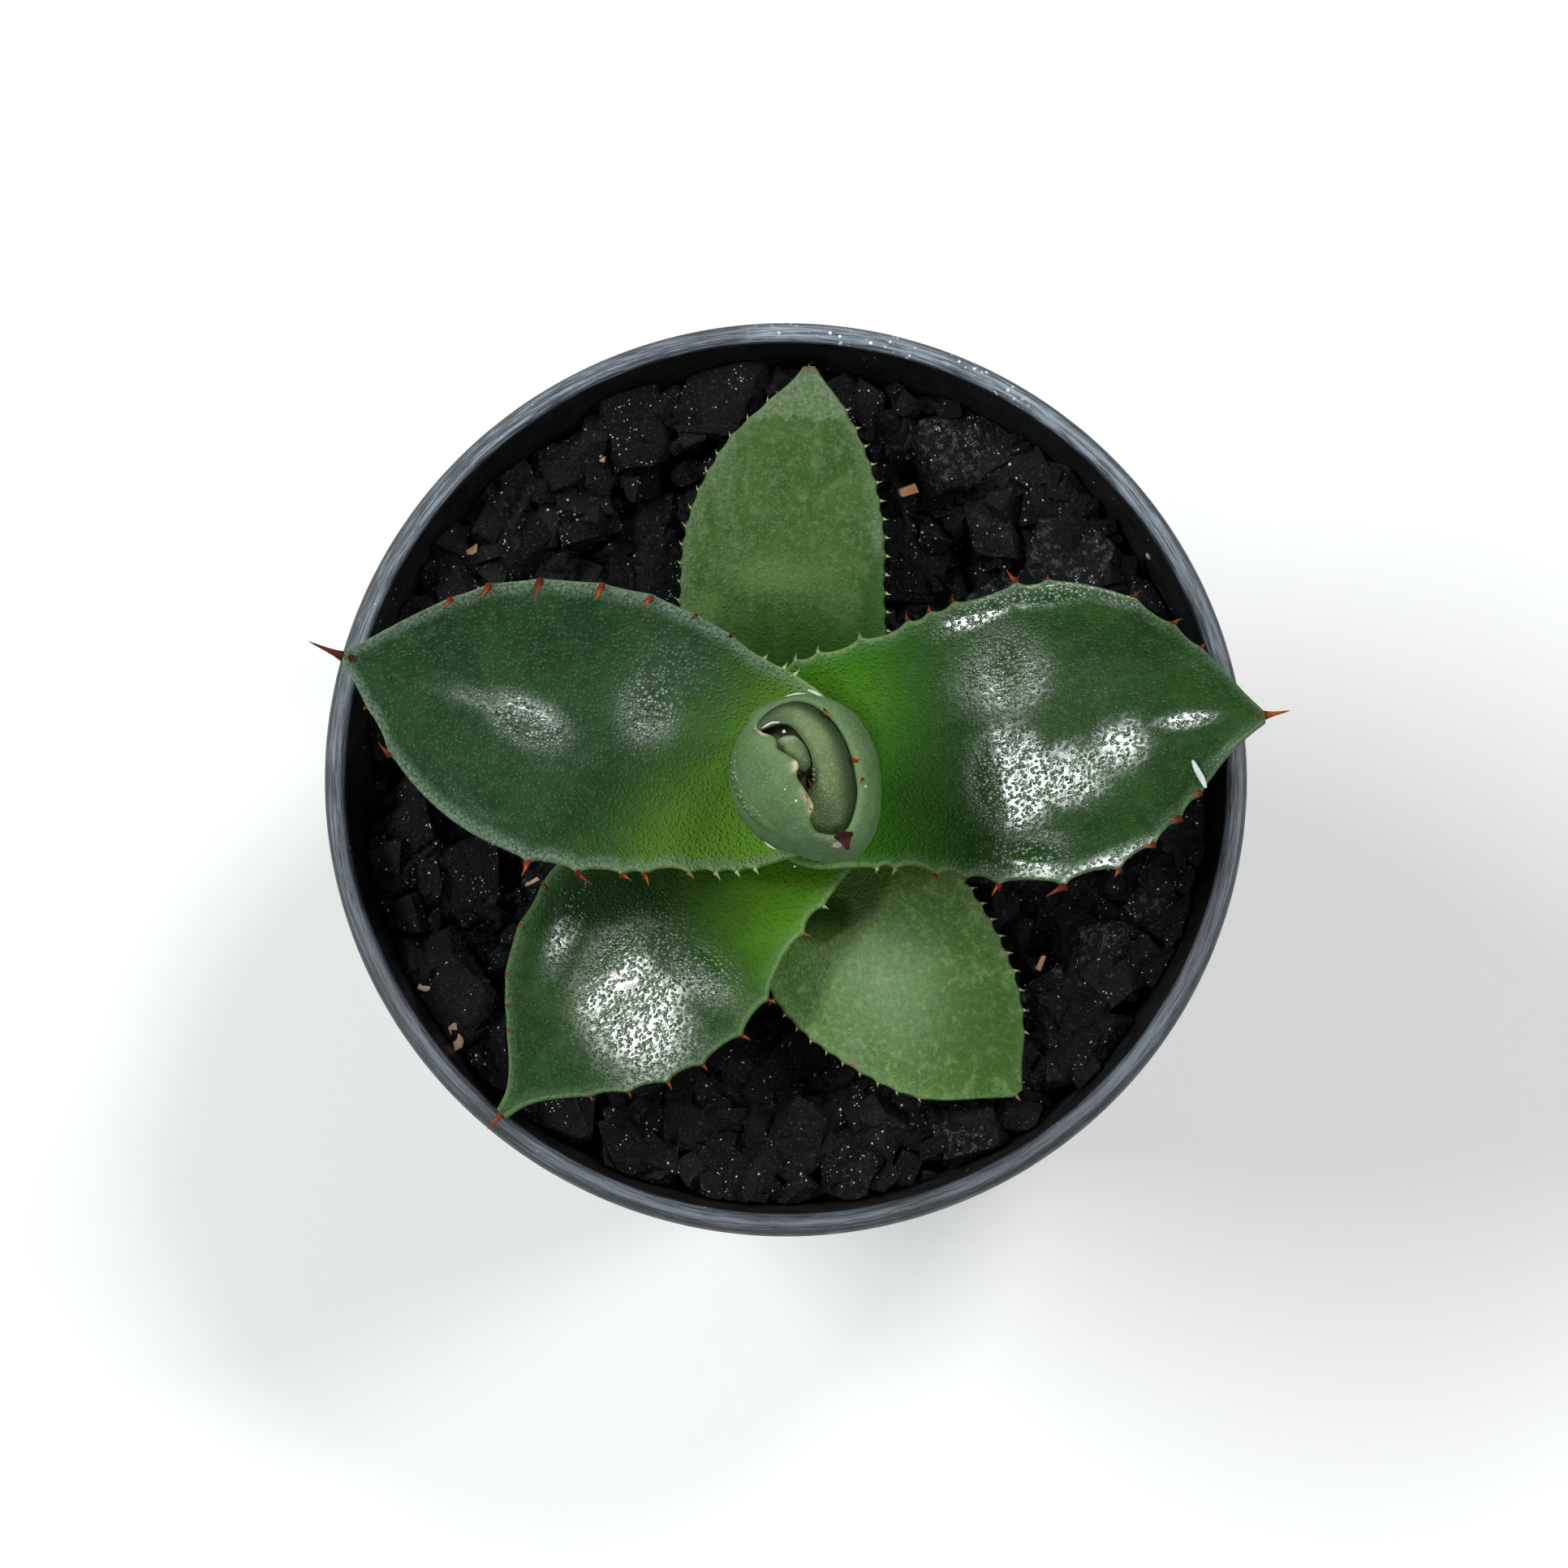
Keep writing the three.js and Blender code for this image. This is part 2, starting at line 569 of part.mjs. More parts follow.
function mouthCut() {
  const shape = new THREE.Shape(BUD_MOUTH.map(([x, y]) => new THREE.Vector2(x, y)));
  const geometry = new THREE.ExtrudeGeometry(shape, { depth: budTop, bevelEnabled: false });
  geometry.translate(STEM_X, STEM_Y, budBase + MOUTH_FLOOR);
  return solidOf(geometry);
}

// Height over the bud's base at which its dome reaches in to a point off the stem's axis
function domeHeight(x, y) {
  const heights = Array.from({ length: 60 }, (_, k) => budTop * (1 - k / 120));
  const side = Math.round(((Math.atan2(y, x) / (2 * Math.PI) + 1) % 1) * BUD_SIDES) % BUD_SIDES;
  return heights.find((height) => {
    const [px, py] = budRing(height, 0)[side];
    return Math.hypot(px - STEM_X, py - STEM_Y) >= Math.hypot(x, y);
  });
}

function thornSolid(x, y, height, radius) {
  const geometry = new THREE.ConeGeometry(radius, height + 1, 6);
  geometry.rotateX(Math.PI / 2);
  geometry.translate(STEM_X + x, STEM_Y + y, budBase + domeHeight(x, y) + (height - 1) / 2);
  return solidOf(geometry);
}

function makeBudOuterLeaf() {
  const hollow = budBody(BUD_WALL, BUD_HOLLOW_FLOOR, budTop - BUD_WALL);
  const rolled = budBody(0, 0, budTop).subtract(hollow).subtract(mouthCut());
  const spine = thornSolid(BUD_SPINE.x, BUD_SPINE.y, BUD_SPINE.height, BUD_SPINE.radius);
  return BUD_TEETH.reduce(
    (leaf, [x, y, length]) => leaf.add(thornSolid(1.06 * x, 1.06 * y, length, 0.4)),
    rolled.add(spine),
  );
}

function makeBudInnerLeaf() {
  const gap = 1.4 * CLEARANCE;
  const body = budBody(BUD_WALL + gap, BUD_HOLLOW_FLOOR + CLEARANCE, budTop - 2 * BUD_WALL - gap);
  const pocket = post(
    HEART_RADIUS + CLEARANCE,
    budBase + HEART_BASE - CLEARANCE,
    budBase + budTop,
    STEM_X + HEART_X,
    STEM_Y + HEART_Y,
    HEART_SIDES,
  );
  return body.subtract(pocket);
}

function makeBudHeartLeaf() {
  const lobe = turned([
    [0, 0],
    [0.6 * HEART_RADIUS, 0],
    [0.9 * HEART_RADIUS, 1.5],
    [HEART_RADIUS, 5],
    [HEART_RADIUS, 8],
    [0.75 * HEART_RADIUS, 10.5],
    [0.35 * HEART_RADIUS, HEART_HEIGHT],
    [0, HEART_HEIGHT],
  ], HEART_SIDES);
  return lobe.translate(STEM_X + HEART_X, STEM_Y + HEART_Y, budBase + HEART_BASE);
}

const agave = new THREE.Group();
agave.add(
  named('pot', makePot(), 0x26292d, 0.6),
  named('potting_mix', makePottingMix(), 0x2a211a, 0.95),
  named('charcoal_chips', makeChips(), 0x17181a, 0.7),
  named('stem', makeStem(), 0x8a9a5a, 0.6),
  ...LEAVES.map((leaf) => named(leaf.name, makeLeaf(leaf), leaf.color, 0.45)),
  named('bud_outer_leaf', makeBudOuterLeaf(), 0x6f8a68, 0.5),
  named('bud_inner_leaf', makeBudInnerLeaf(), 0x66784a, 0.5),
  named('bud_heart_leaf', makeBudHeartLeaf(), 0x74876a, 0.5),
);

export default agave;
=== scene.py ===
# Potted artichoke agave: a young rosette on a short stem, in a plastic pot topped with charcoal.
# Sizes and places are in millimetres until make_object turns them into metres. Heights of leaves
# are over the rim's plane, and azimuths are in degrees, anticlockwise from +X.
import math

import bmesh
import bpy
import numpy as np
from mathutils import Euler, Matrix, Vector


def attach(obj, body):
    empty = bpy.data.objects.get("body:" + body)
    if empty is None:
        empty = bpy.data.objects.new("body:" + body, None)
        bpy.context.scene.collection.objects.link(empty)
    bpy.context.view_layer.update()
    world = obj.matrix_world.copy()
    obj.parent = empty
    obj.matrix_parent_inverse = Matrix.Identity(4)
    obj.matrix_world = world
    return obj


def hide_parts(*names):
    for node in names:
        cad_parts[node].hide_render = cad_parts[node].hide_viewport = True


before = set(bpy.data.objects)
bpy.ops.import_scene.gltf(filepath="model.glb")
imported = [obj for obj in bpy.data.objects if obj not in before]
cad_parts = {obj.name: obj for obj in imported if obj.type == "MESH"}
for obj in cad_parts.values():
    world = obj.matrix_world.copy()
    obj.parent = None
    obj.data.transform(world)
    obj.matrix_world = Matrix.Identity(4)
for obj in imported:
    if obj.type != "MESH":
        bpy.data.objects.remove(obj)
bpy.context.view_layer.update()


# Pot
# A thin round pot moulded in one shot of black plastic, with a collar that stiffens its rim
# and six drain holes in its foot. Washing and stacking have scuffed the top of the rim pale.
MM = 0.001
POT_HEIGHT = 85
RIM_RADIUS = 50
MOUTH_RADIUS = 47.6
COLLAR_DEPTH = 14
FOOT_RADIUS = 36
WALL = 1.6
FLOOR_TOP = 3.5
PAD_RADIUS = 18
FOOT_RING_WIDTH = 4
CHANNEL_DEPTH = 1.5
DRAIN_HOLES = 6
DRAIN_RADIUS = 2.5
POT_SIDES = 240
PLUG_SIDES = 32


def make_object(name, points, faces, *materials):
    """An object at the origin whose mesh holds these millimetre points in metres"""
    mesh = bpy.data.meshes.new(name)
    mesh.from_pydata((np.asarray(points, float) * MM).tolist(), [], [tuple(face) for face in faces])
    for material in materials:
        mesh.materials.append(material)
    thing = bpy.data.objects.new(name, mesh)
    bpy.context.scene.collection.objects.link(thing)
    return thing


def tidy_mesh(thing, weld=0.0):
    """Welds what lies together and turns every face outwards"""
    work = bmesh.new()
    work.from_mesh(thing.data)
    if weld:
        bmesh.ops.remove_doubles(work, verts=work.verts, dist=weld * MM)
    bmesh.ops.recalc_face_normals(work, faces=work.faces)
    work.to_mesh(thing.data)
    work.free()


def smooth(thing, degrees):
    """Shades smoothly, apart from edges that turn by more than this"""
    thing.data.shade_smooth()
    thing.data.set_sharp_from_angle(angle=math.radians(degrees))


def bake_modifiers(thing):
    """Makes what the modifiers show the object's own mesh"""
    graph = bpy.context.evaluated_depsgraph_get()
    mesh = bpy.data.meshes.new_from_object(thing.evaluated_get(graph), depsgraph=graph)
    thing.modifiers.clear()
    thing.data = mesh


def settle(thing, slot, *nodes):
    """The piece rides on the part's one body and hides the nodes that it stands for; the slot is not used"""
    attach(thing, "root")
    if nodes:
        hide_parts(*nodes)


def inner_radius(height):
    """Radius of the pot's bore at a height"""
    share = (height - FLOOR_TOP) / (POT_HEIGHT - FLOOR_TOP)
    return FOOT_RADIUS - WALL + share * (MOUTH_RADIUS - FOOT_RADIUS + WALL)


def rounded(corners):
    """Outline through [r, z, rounding] corners, each cut by an arc of about that reach"""
    outline = []
    for k, (r, z, reach) in enumerate(corners):
        here = np.array([r, z], float)
        if not reach:
            outline.append(here)
            continue
        before = np.array(corners[k - 1][:2], float) - here
        after = np.array(corners[k + 1][:2], float) - here
        start = here + before * min(reach / np.linalg.norm(before), 0.45)
        end = here + after * min(reach / np.linalg.norm(after), 0.45)
        for t in np.linspace(0, 1, 5):
            outline.append((1 - t) ** 2 * start + 2 * t * (1 - t) * here + t * t * end)
    return outline


def turns(count):
    """Angles evenly spaced once round"""
    return np.arange(count) / count * 2 * math.pi


def ring_faces(rows, count):
    """Squares between successive rings of equal count"""
    faces = []
    for i in range(rows - 1):
        for j in range(count):
            a, b = i * count + j, i * count + (j + 1) % count
            faces.append((a, b, b + count, a + count))
    return faces


def capped(name, rings, low_tip, high_tip, *materials):
    """Closed body through rings of equal count, with a point closing each end"""
    rows, count, _ = np.shape(rings)
    points = [*np.reshape(rings, (-1, 3)), low_tip, high_tip]
    faces = ring_faces(rows, count)
    last = (rows - 1) * count
    for j in range(count):
        faces.append((len(points) - 2, (j + 1) % count, j))
        faces.append((len(points) - 1, last + j, last + (j + 1) % count))
    thing = make_object(name, points, faces, *materials)
    tidy_mesh(thing)
    return thing


def turned(name, outline, sides, *materials):
    """Closed body turned about the Z axis from an outline that starts and ends on the axis"""
    rings = [
        [(r * math.cos(turn), r * math.sin(turn), z) for turn in turns(sides)]
        for r, z in outline[1:-1]
    ]
    return capped(name, rings, (0, 0, outline[0][1]), (0, 0, outline[-1][1]), *materials)


class Finish:
    """The nodes of one material, joined up as they are asked for"""

    def __init__(self, name, roughness=0.5):
        self.material = bpy.data.materials.new(name)
        self.material.use_nodes = True
        self.tree = self.material.node_tree
        self.skin = self.tree.nodes["Principled BSDF"].inputs
        self.skin["Roughness"].default_value = roughness
        self.place = self.tree.nodes.new("ShaderNodeTexCoord").outputs["Object"]

    def feed(self, socket, value):
        if isinstance(value, bpy.types.NodeSocket):
            self.tree.links.new(value, socket)
        elif isinstance(value, (tuple, list)) and len(socket.default_value) == 4:
            socket.default_value = (*value, 1)
        else:
            socket.default_value = value

    def step(self, kind, values=(), **settings):
        node = self.tree.nodes.new(kind)
        for key, value in settings.items():
            setattr(node, key, value)
        for socket, value in zip(node.inputs, values):
            if value is not None:
                self.feed(socket, value)
        return node

    def math(self, operation, *values):
        return self.step("ShaderNodeMath", values, operation=operation).outputs[0]

    def times(self, first, second):
        return self.math("MULTIPLY", first, second)

    def scaled(self, value, factor, offset):
        return self.math("MULTIPLY_ADD", value, factor, offset)

    def vector(self, operation, *values):
        node = self.step("ShaderNodeVectorMath", values, operation=operation)
        return node.outputs["Value" if operation in ("LENGTH", "DISTANCE") else "Vector"]

    def stretched(self, place, factors):
        return self.vector("MULTIPLY", place, factors)

    def parts(self, vector):
        return self.step("ShaderNodeSeparateXYZ", [vector]).outputs

    def attribute(self, name, kind="Fac"):
        return self.step("ShaderNodeAttribute", attribute_name=name).outputs[kind]

    def noise(self, size, place=None, detail=3.0, roughness=0.5):
        """Cloudy pattern around 0.5 whose features are about size millimetres across"""
        node = self.step("ShaderNodeTexNoise")
        self.feed(node.inputs["Vector"], place or self.place)
        node.inputs["Scale"].default_value = 1 / (size * MM)
        node.inputs["Detail"].default_value = detail
        node.inputs["Roughness"].default_value = roughness
        return node.outputs[0]

    def cells(self, size, place=None, feature="F1", output="Distance"):
        """Cells of about size millimetres; the distance is in shares of a cell"""
        node = self.step("ShaderNodeTexVoronoi", feature=feature)
        self.feed(node.inputs["Vector"], place or self.place)
        node.inputs["Scale"].default_value = 1 / (size * MM)
        return node.outputs[output]

    def ramp(self, value, start, end, low=0.0, high=1.0):
        """Smooth step of value from low at start to high at end"""
        values = [value, start, end, low, high]
        return self.step("ShaderNodeMapRange", values, interpolation_type="SMOOTHSTEP").outputs[0]

    def mix(self, share, first, second):
        node = self.step("ShaderNodeMix", data_type="RGBA")
        self.feed(node.inputs[0], share)
        self.feed(node.inputs[6], first)
        self.feed(node.inputs[7], second)
        return node.outputs[2]

    def blend(self, share, first, second):
        """Number that goes from the first to the second"""
        return self.step("ShaderNodeMix", [share, None, first, second], data_type="FLOAT").outputs[0]

    def bump(self, height, depth, under=None):
        """Relief of about depth millimetres from a height between 0 and 1"""
        node = self.step("ShaderNodeBump")
        node.inputs["Strength"].default_value = 1
        node.inputs["Distance"].default_value = depth * MM
        self.feed(node.inputs["Height"], height)
        if under:
            self.feed(node.inputs["Normal"], under)
        return node.outputs[0]

    def paint(self, color=None, roughness=None, normal=None):
        for name, value in (("Base Color", color), ("Roughness", roughness), ("Normal", normal)):
            if value is not None:
                self.feed(self.skin[name], value)
        return self.material


def rim_scratches(finish, heading, radius):
    """Fine and wide scratches that run round the rim, with values around 0.5"""
    around = finish.vector("SCALE", heading)
    around.node.inputs["Scale"].default_value = 5 * MM
    ax, ay, _ = finish.parts(around)
    polished = finish.step("ShaderNodeCombineXYZ", [ax, ay, radius]).outputs[0]
    streaks = finish.noise(0.14, finish.stretched(polished, (0.34, 0.34, 1)), 4, 0.7)
    wide_streaks = finish.noise(0.55, finish.stretched(polished, (0.12, 0.12, 1)), 2, 0.5)
    return finish.scaled(streaks, 0.65, finish.times(wide_streaks, 0.35))


def pale_dust(finish, heading, on_top):
    """Perlite dust, crowded on a short stretch of the rim's far side and scattered elsewhere"""
    hx, hy, _ = finish.parts(heading)
    toward_dust = finish.scaled(hx, 0.26, finish.times(hy, 0.966))
    dusty = finish.ramp(toward_dust, 0.93, 0.99)
    specks = finish.ramp(finish.cells(0.75), 0.32, 0.2)
    sparse = finish.ramp(finish.noise(1.6, detail=2), 0.5, 0.58)
    crowded = finish.times(finish.times(specks, sparse), finish.times(dusty, on_top))
    few = finish.ramp(finish.noise(5, detail=1), 0.62, 0.7)
    scatter = finish.times(finish.ramp(finish.cells(1.1), 0.14, 0.08), few)
    return finish.math("MAXIMUM", crowded, finish.times(scatter, 0.5))


def pot_finish():
    """Black plastic, scuffed pale on top of the rim, with painted light on the rim's far side and painted
    shade inside its mouth
    """
    finish = Finish("black_pot_plastic")
    x, y, z = finish.parts(finish.place)
    flat = finish.step("ShaderNodeCombineXYZ", [x, y, 0.0]).outputs[0]
    radius = finish.vector("LENGTH", flat)
    heading = finish.vector("NORMALIZE", flat)
    scratches = rim_scratches(finish, heading, radius)
    on_top = finish.times(
        finish.ramp(z, (POT_HEIGHT - 1.0) * MM, (POT_HEIGHT - 0.25) * MM),
        finish.ramp(radius, (MOUTH_RADIUS - 0.2) * MM, (MOUTH_RADIUS + 0.15) * MM),
    )
    shoulder = finish.times(on_top, finish.ramp(radius, (RIM_RADIUS - 0.3) * MM, (RIM_RADIUS - 0.7) * MM))
    worn = finish.times(shoulder, finish.ramp(finish.noise(9, detail=3), 0.3, 0.62, 0.55, 1.0))
    black = finish.mix(finish.noise(14), (0.008, 0.009, 0.011), (0.017, 0.019, 0.022))
    # Painted light: the scuffs on the rim are paler on its far side and duller on its near side, as the lamps
    # fall on them
    painted_light_far_side = finish.ramp(finish.parts(heading)[1], -0.7, 0.95)
    dull = finish.mix(painted_light_far_side, (0.02, 0.025, 0.03), (0.035, 0.042, 0.05))
    bright = finish.mix(painted_light_far_side, (0.105, 0.122, 0.146), (0.24, 0.285, 0.335))
    pale = finish.mix(finish.ramp(scratches, 0.42, 0.58), dull, bright)
    film = finish.ramp(finish.noise(22, detail=5, roughness=0.6), 0.5, 0.75, 0.0, 0.3)
    walls = finish.mix(film, black, (0.055, 0.06, 0.062))
    # Painted shade: the collar's inside, below the mouth, is darkened almost to black
    inside = finish.times(
        finish.ramp(radius, (MOUTH_RADIUS + 0.15) * MM, (MOUTH_RADIUS + 0.05) * MM),
        finish.ramp(z, (POT_HEIGHT - COLLAR_DEPTH - 1) * MM, (POT_HEIGHT - COLLAR_DEPTH) * MM),
    )
    rim = finish.mix(worn, finish.mix(inside, walls, (0.004, 0.0042, 0.0046)), pale)
    color = finish.mix(pale_dust(finish, heading, on_top), rim, (0.62, 0.66, 0.7))
    rough = finish.ramp(finish.noise(3, detail=4), 0.3, 0.7, 0.42, 0.58)
    relief = finish.bump(finish.noise(0.22, detail=2), 0.02)
    relief = finish.bump(finish.times(scratches, on_top), 0.12, relief)
    return finish.paint(color, rough, relief)


def pot_outline():
    step = POT_HEIGHT - COLLAR_DEPTH
    outer = inner_radius(step) + WALL
    return rounded([
        (0, 0, 0),
        (PAD_RADIUS, 0, 0.3),
        (PAD_RADIUS + 1, CHANNEL_DEPTH, 0.3),
        (FOOT_RADIUS - FOOT_RING_WIDTH - 1, CHANNEL_DEPTH, 0.3),
        (FOOT_RADIUS - FOOT_RING_WIDTH, 0, 0.3),
        (FOOT_RADIUS - 1, 0, 0.5),
        (FOOT_RADIUS, 1, 0.7),
        (outer, step - 1, 0.4),
        (RIM_RADIUS - 0.7, step, 0.3),
        (RIM_RADIUS, POT_HEIGHT - 1.4, 0.6),
        (RIM_RADIUS - 0.3, POT_HEIGHT - 0.5, 0.4),
        (RIM_RADIUS - 1, POT_HEIGHT, 0.4),
        (MOUTH_RADIUS + 0.5, POT_HEIGHT, 0.3),
        (MOUTH_RADIUS, POT_HEIGHT - 0.6, 0.3),
        (inner_radius(step), step, 0),
        (inner_radius(FLOOR_TOP + 2), FLOOR_TOP + 2, 0.8),
        (inner_radius(FLOOR_TOP) - 2, FLOOR_TOP, 0.8),
        (0, FLOOR_TOP, 0),
    ])


def drain_cutter():
    """Round plugs in one mesh, to be cut from the pot's foot"""
    ring = (PAD_RADIUS + FOOT_RADIUS - FOOT_RING_WIDTH) / 2
    ends = [range(PLUG_SIDES)[::-1], range(PLUG_SIDES, 2 * PLUG_SIDES)]
    points, faces = [], []
    for turn in turns(DRAIN_HOLES):
        first = len(points)
        for z in (-1, FLOOR_TOP + 1):
            for a in turns(PLUG_SIDES):
                x = ring * math.cos(turn) + DRAIN_RADIUS * math.cos(a)
                y = ring * math.sin(turn) + DRAIN_RADIUS * math.sin(a)
                points.append((x, y, z))
        faces.extend([first + k for k in face] for face in [*ring_faces(2, PLUG_SIDES), *ends])
    return make_object("drain_cutter", points, faces)


pot = turned("nursery_pot", pot_outline(), POT_SIDES, pot_finish())
cutter = drain_cutter()
cut = pot.modifiers.new("drain holes", "BOOLEAN")
cut.operation = "DIFFERENCE"
cut.solver = "EXACT"
cut.object = cutter
bake_modifiers(pot)
bpy.data.objects.remove(cutter)
smooth(pot, 40)
settle(pot, "pot_plastic", "pot")


# Potting mix
# Dark peat and bark fines that fill the pot and hold the stem's foot. The charcoal hides its
# top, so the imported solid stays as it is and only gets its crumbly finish.
def mix_finish():
    finish = Finish("peat_and_bark", 0.95)
    crumbs = finish.cells(1.4)
    clods = finish.noise(5, detail=5, roughness=0.65)
    fibres = finish.noise(0.5, finish.stretched(finish.place, (1, 0.2, 1)), 3)
    dark = finish.mix(clods, (0.012, 0.008, 0.006), (0.05, 0.032, 0.02))
    color = finish.mix(finish.ramp(fibres, 0.6, 0.72, 0, 0.6), dark, (0.16, 0.1, 0.055))
    relief = finish.bump(finish.math("SUBTRACT", clods, crumbs), 0.8)
    return finish.paint(color, None, relief)


def wear(node, material):
    """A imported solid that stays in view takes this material"""
    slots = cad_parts[node].data.materials
    slots.clear()
    slots.append(material)


wear("potting_mix", mix_finish())


# Charcoal top dressing
# Broken horticultural charcoal, washed and still damp, lies a chip or two deep over the mix.
# It broke along the wood's grain, so the chips are angular with flat, finely streaked faces.
CLEARANCE = 0.35
MIX_DEPTH_BELOW_RIM = 16.5
BED_THICKNESS = 2
CHIP_COUNT = 92
CHIP_SEED = 4682
CHIP_MIN = 3.2
CHIP_MAX = 6
CHIP_SPACING = 0.76
CHIP_TRIES = 6000
CHIP_TILT = 0.35
CHIP_LIFT = 0.25
CHIP_EDGE_ROOM = 4
CHIP_TOP_BELOW_RIM = 10
CHIP_CUTS = 9
CHIP_RELIEF = 0.24
CHIP_GRAIN = 1.1
# [least, range] of a chip's width and height as shares of its length, and of how far its corners reach
CHIP_WIDTH = (0.62, 0.3)
CHIP_HEIGHT = (0.42, 0.2)
CHIP_CORNER = (0.55, 0.6)
# Chips are damp by this share at the stem, and more to the right
DAMP = 0.25
DAMP_TO_RIGHT = 0.016
PILE = 6.2
PILE_START = 30
PILE_WIDTH = 15
STEM_X = 1.9
STEM_Y = -3.4
STEM_RADIUS = 5
bed_bottom = POT_HEIGHT - MIX_DEPTH_BELOW_RIM + CLEARANCE
bed_top = bed_bottom + BED_THICKNESS
chip_ceiling = POT_HEIGHT - CHIP_TOP_BELOW_RIM


def number_stream(seed):
    """A repeatable stream of numbers from 0 to 1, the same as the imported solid's"""
    state = seed
    mask = 0xFFFFFFFF

    def draw():
        nonlocal state
        state = (state + 0x6D2B79F5) & mask
        t = ((state ^ (state >> 15)) * (1 | state)) & mask
        t = ((t + (((t ^ (t >> 7)) * (61 | t)) & mask)) & mask) ^ t
        return ((t ^ (t >> 14)) & mask) / 4294967296

    return draw


def chip_places(draw):
    places = []
    reach = MOUTH_RADIUS - CHIP_EDGE_ROOM
    for _ in range(CHIP_TRIES):
        if len(places) == CHIP_COUNT:
            break
        x = reach * (2 * draw() - 1)
        y = reach * (2 * draw() - 1)
        size = CHIP_MIN + (CHIP_MAX - CHIP_MIN) * draw()
        inside = x * x + y * y < reach * reach
        clear = all((px - x) ** 2 + (py - y) ** 2 > (CHIP_SPACING * (p + size)) ** 2 for px, py, p in places)
        if inside and clear:
            places.append((x, y, size))
    return places


def pile(x, y):
    """How far the chips climb towards the pot's wall"""
    share = np.clip((np.hypot(x, y) - PILE_START) / PILE_WIDTH, 0, 1)
    return PILE * share * share * (3 - 2 * share)


def within_pot(points):
    """Draws points in to where the bore leaves them room at their height"""
    room = inner_radius(points[:, 2]) - CLEARANCE
    outward = np.hypot(points[:, 0], points[:, 1])
    points[:, :2] *= np.minimum(1, room / np.maximum(outward, 1))[:, None]
    return points


def drawn(draw, least, spread):
    return least + spread * draw()


def chip_corners(draw, size):
    """Corners of a skewed block and the turn that it lies at"""
    half = [size, size * drawn(draw, *CHIP_WIDTH), size * drawn(draw, *CHIP_HEIGHT)]
    tilt_x = CHIP_TILT * (2 * draw() - 1)
    tilt_y = CHIP_TILT * (2 * draw() - 1)
    turn = Euler((tilt_x, tilt_y, 2 * math.pi * draw()), "ZYX").to_matrix()
    corners = []
    for k in range(8):
        signs = [1 if k & bit else -1 for bit in (1, 2, 4)]
        corners.append([sign * h * drawn(draw, *CHIP_CORNER) for sign, h in zip(signs, half)])
    return corners, turn


def broken_block(corners, rng, cuts, finest):
    """Hull of the corners with its own corners knocked off, its edges split down to the finest"""
    work = bmesh.new()
    for corner in corners:
        work.verts.new(corner)
    bmesh.ops.convex_hull(work, input=work.verts)
    for _ in range(cuts):
        normal = Vector(rng.normal(size=3)).normalized()
        reach = max(v.co.dot(normal) for v in work.verts)
        geometry = list(work.verts) + list(work.edges) + list(work.faces)
        found = bmesh.ops.bisect_plane(
            work,
            geom=geometry,
            plane_co=normal * reach * rng.uniform(0.76, 0.94),
            plane_no=normal,
            clear_outer=True,
        )
        edges = [e for e in found["geom_cut"] if isinstance(e, bmesh.types.BMEdge)]
        if edges:
            bmesh.ops.edgeloop_fill(work, edges=edges)
    bmesh.ops.dissolve_limit(work, angle_limit=0.05, verts=work.verts, edges=work.edges)
    bmesh.ops.triangulate(work, faces=work.faces)
    for _ in range(4):
        coarse = [edge for edge in work.edges if edge.calc_length() > finest]
        if coarse:
            bmesh.ops.subdivide_edges(work, edges=coarse, cuts=1)
            bmesh.ops.triangulate(work, faces=work.faces)
    bmesh.ops.recalc_face_normals(work, faces=work.faces)
    work.verts.index_update()
    points = np.array([v.co for v in work.verts])
    normals = np.array([v.normal for v in work.verts])
    faces = [[v.index for v in f.verts] for f in work.faces]
    work.free()
    return points, normals, faces


def fractured(points, normals, rng):
    """Steps and ripples of a fracture, pushed in along the normals"""
    along_grain = Vector(rng.normal(size=3)).normalized()
    across = np.array(along_grain.orthogonal().normalized())
    along_grain = np.array(along_grain)
    phase = rng.uniform(0, 6.28, 4)
    steps = np.sin(points @ across * 2.6 + phase[0] + 0.9 * np.sin(points @ along_grain * 1.1 + phase[1]))
    ripples = np.sin(points @ across * 6.1 + phase[2]) * np.sin(points @ along_grain * 3.2 + phase[3])
    depth = CHIP_RELIEF * (0.7 * np.abs(steps) + 0.4 * ripples + 0.35 * rng.uniform(-1, 1, len(points)))
    return points - normals * depth[:, None]


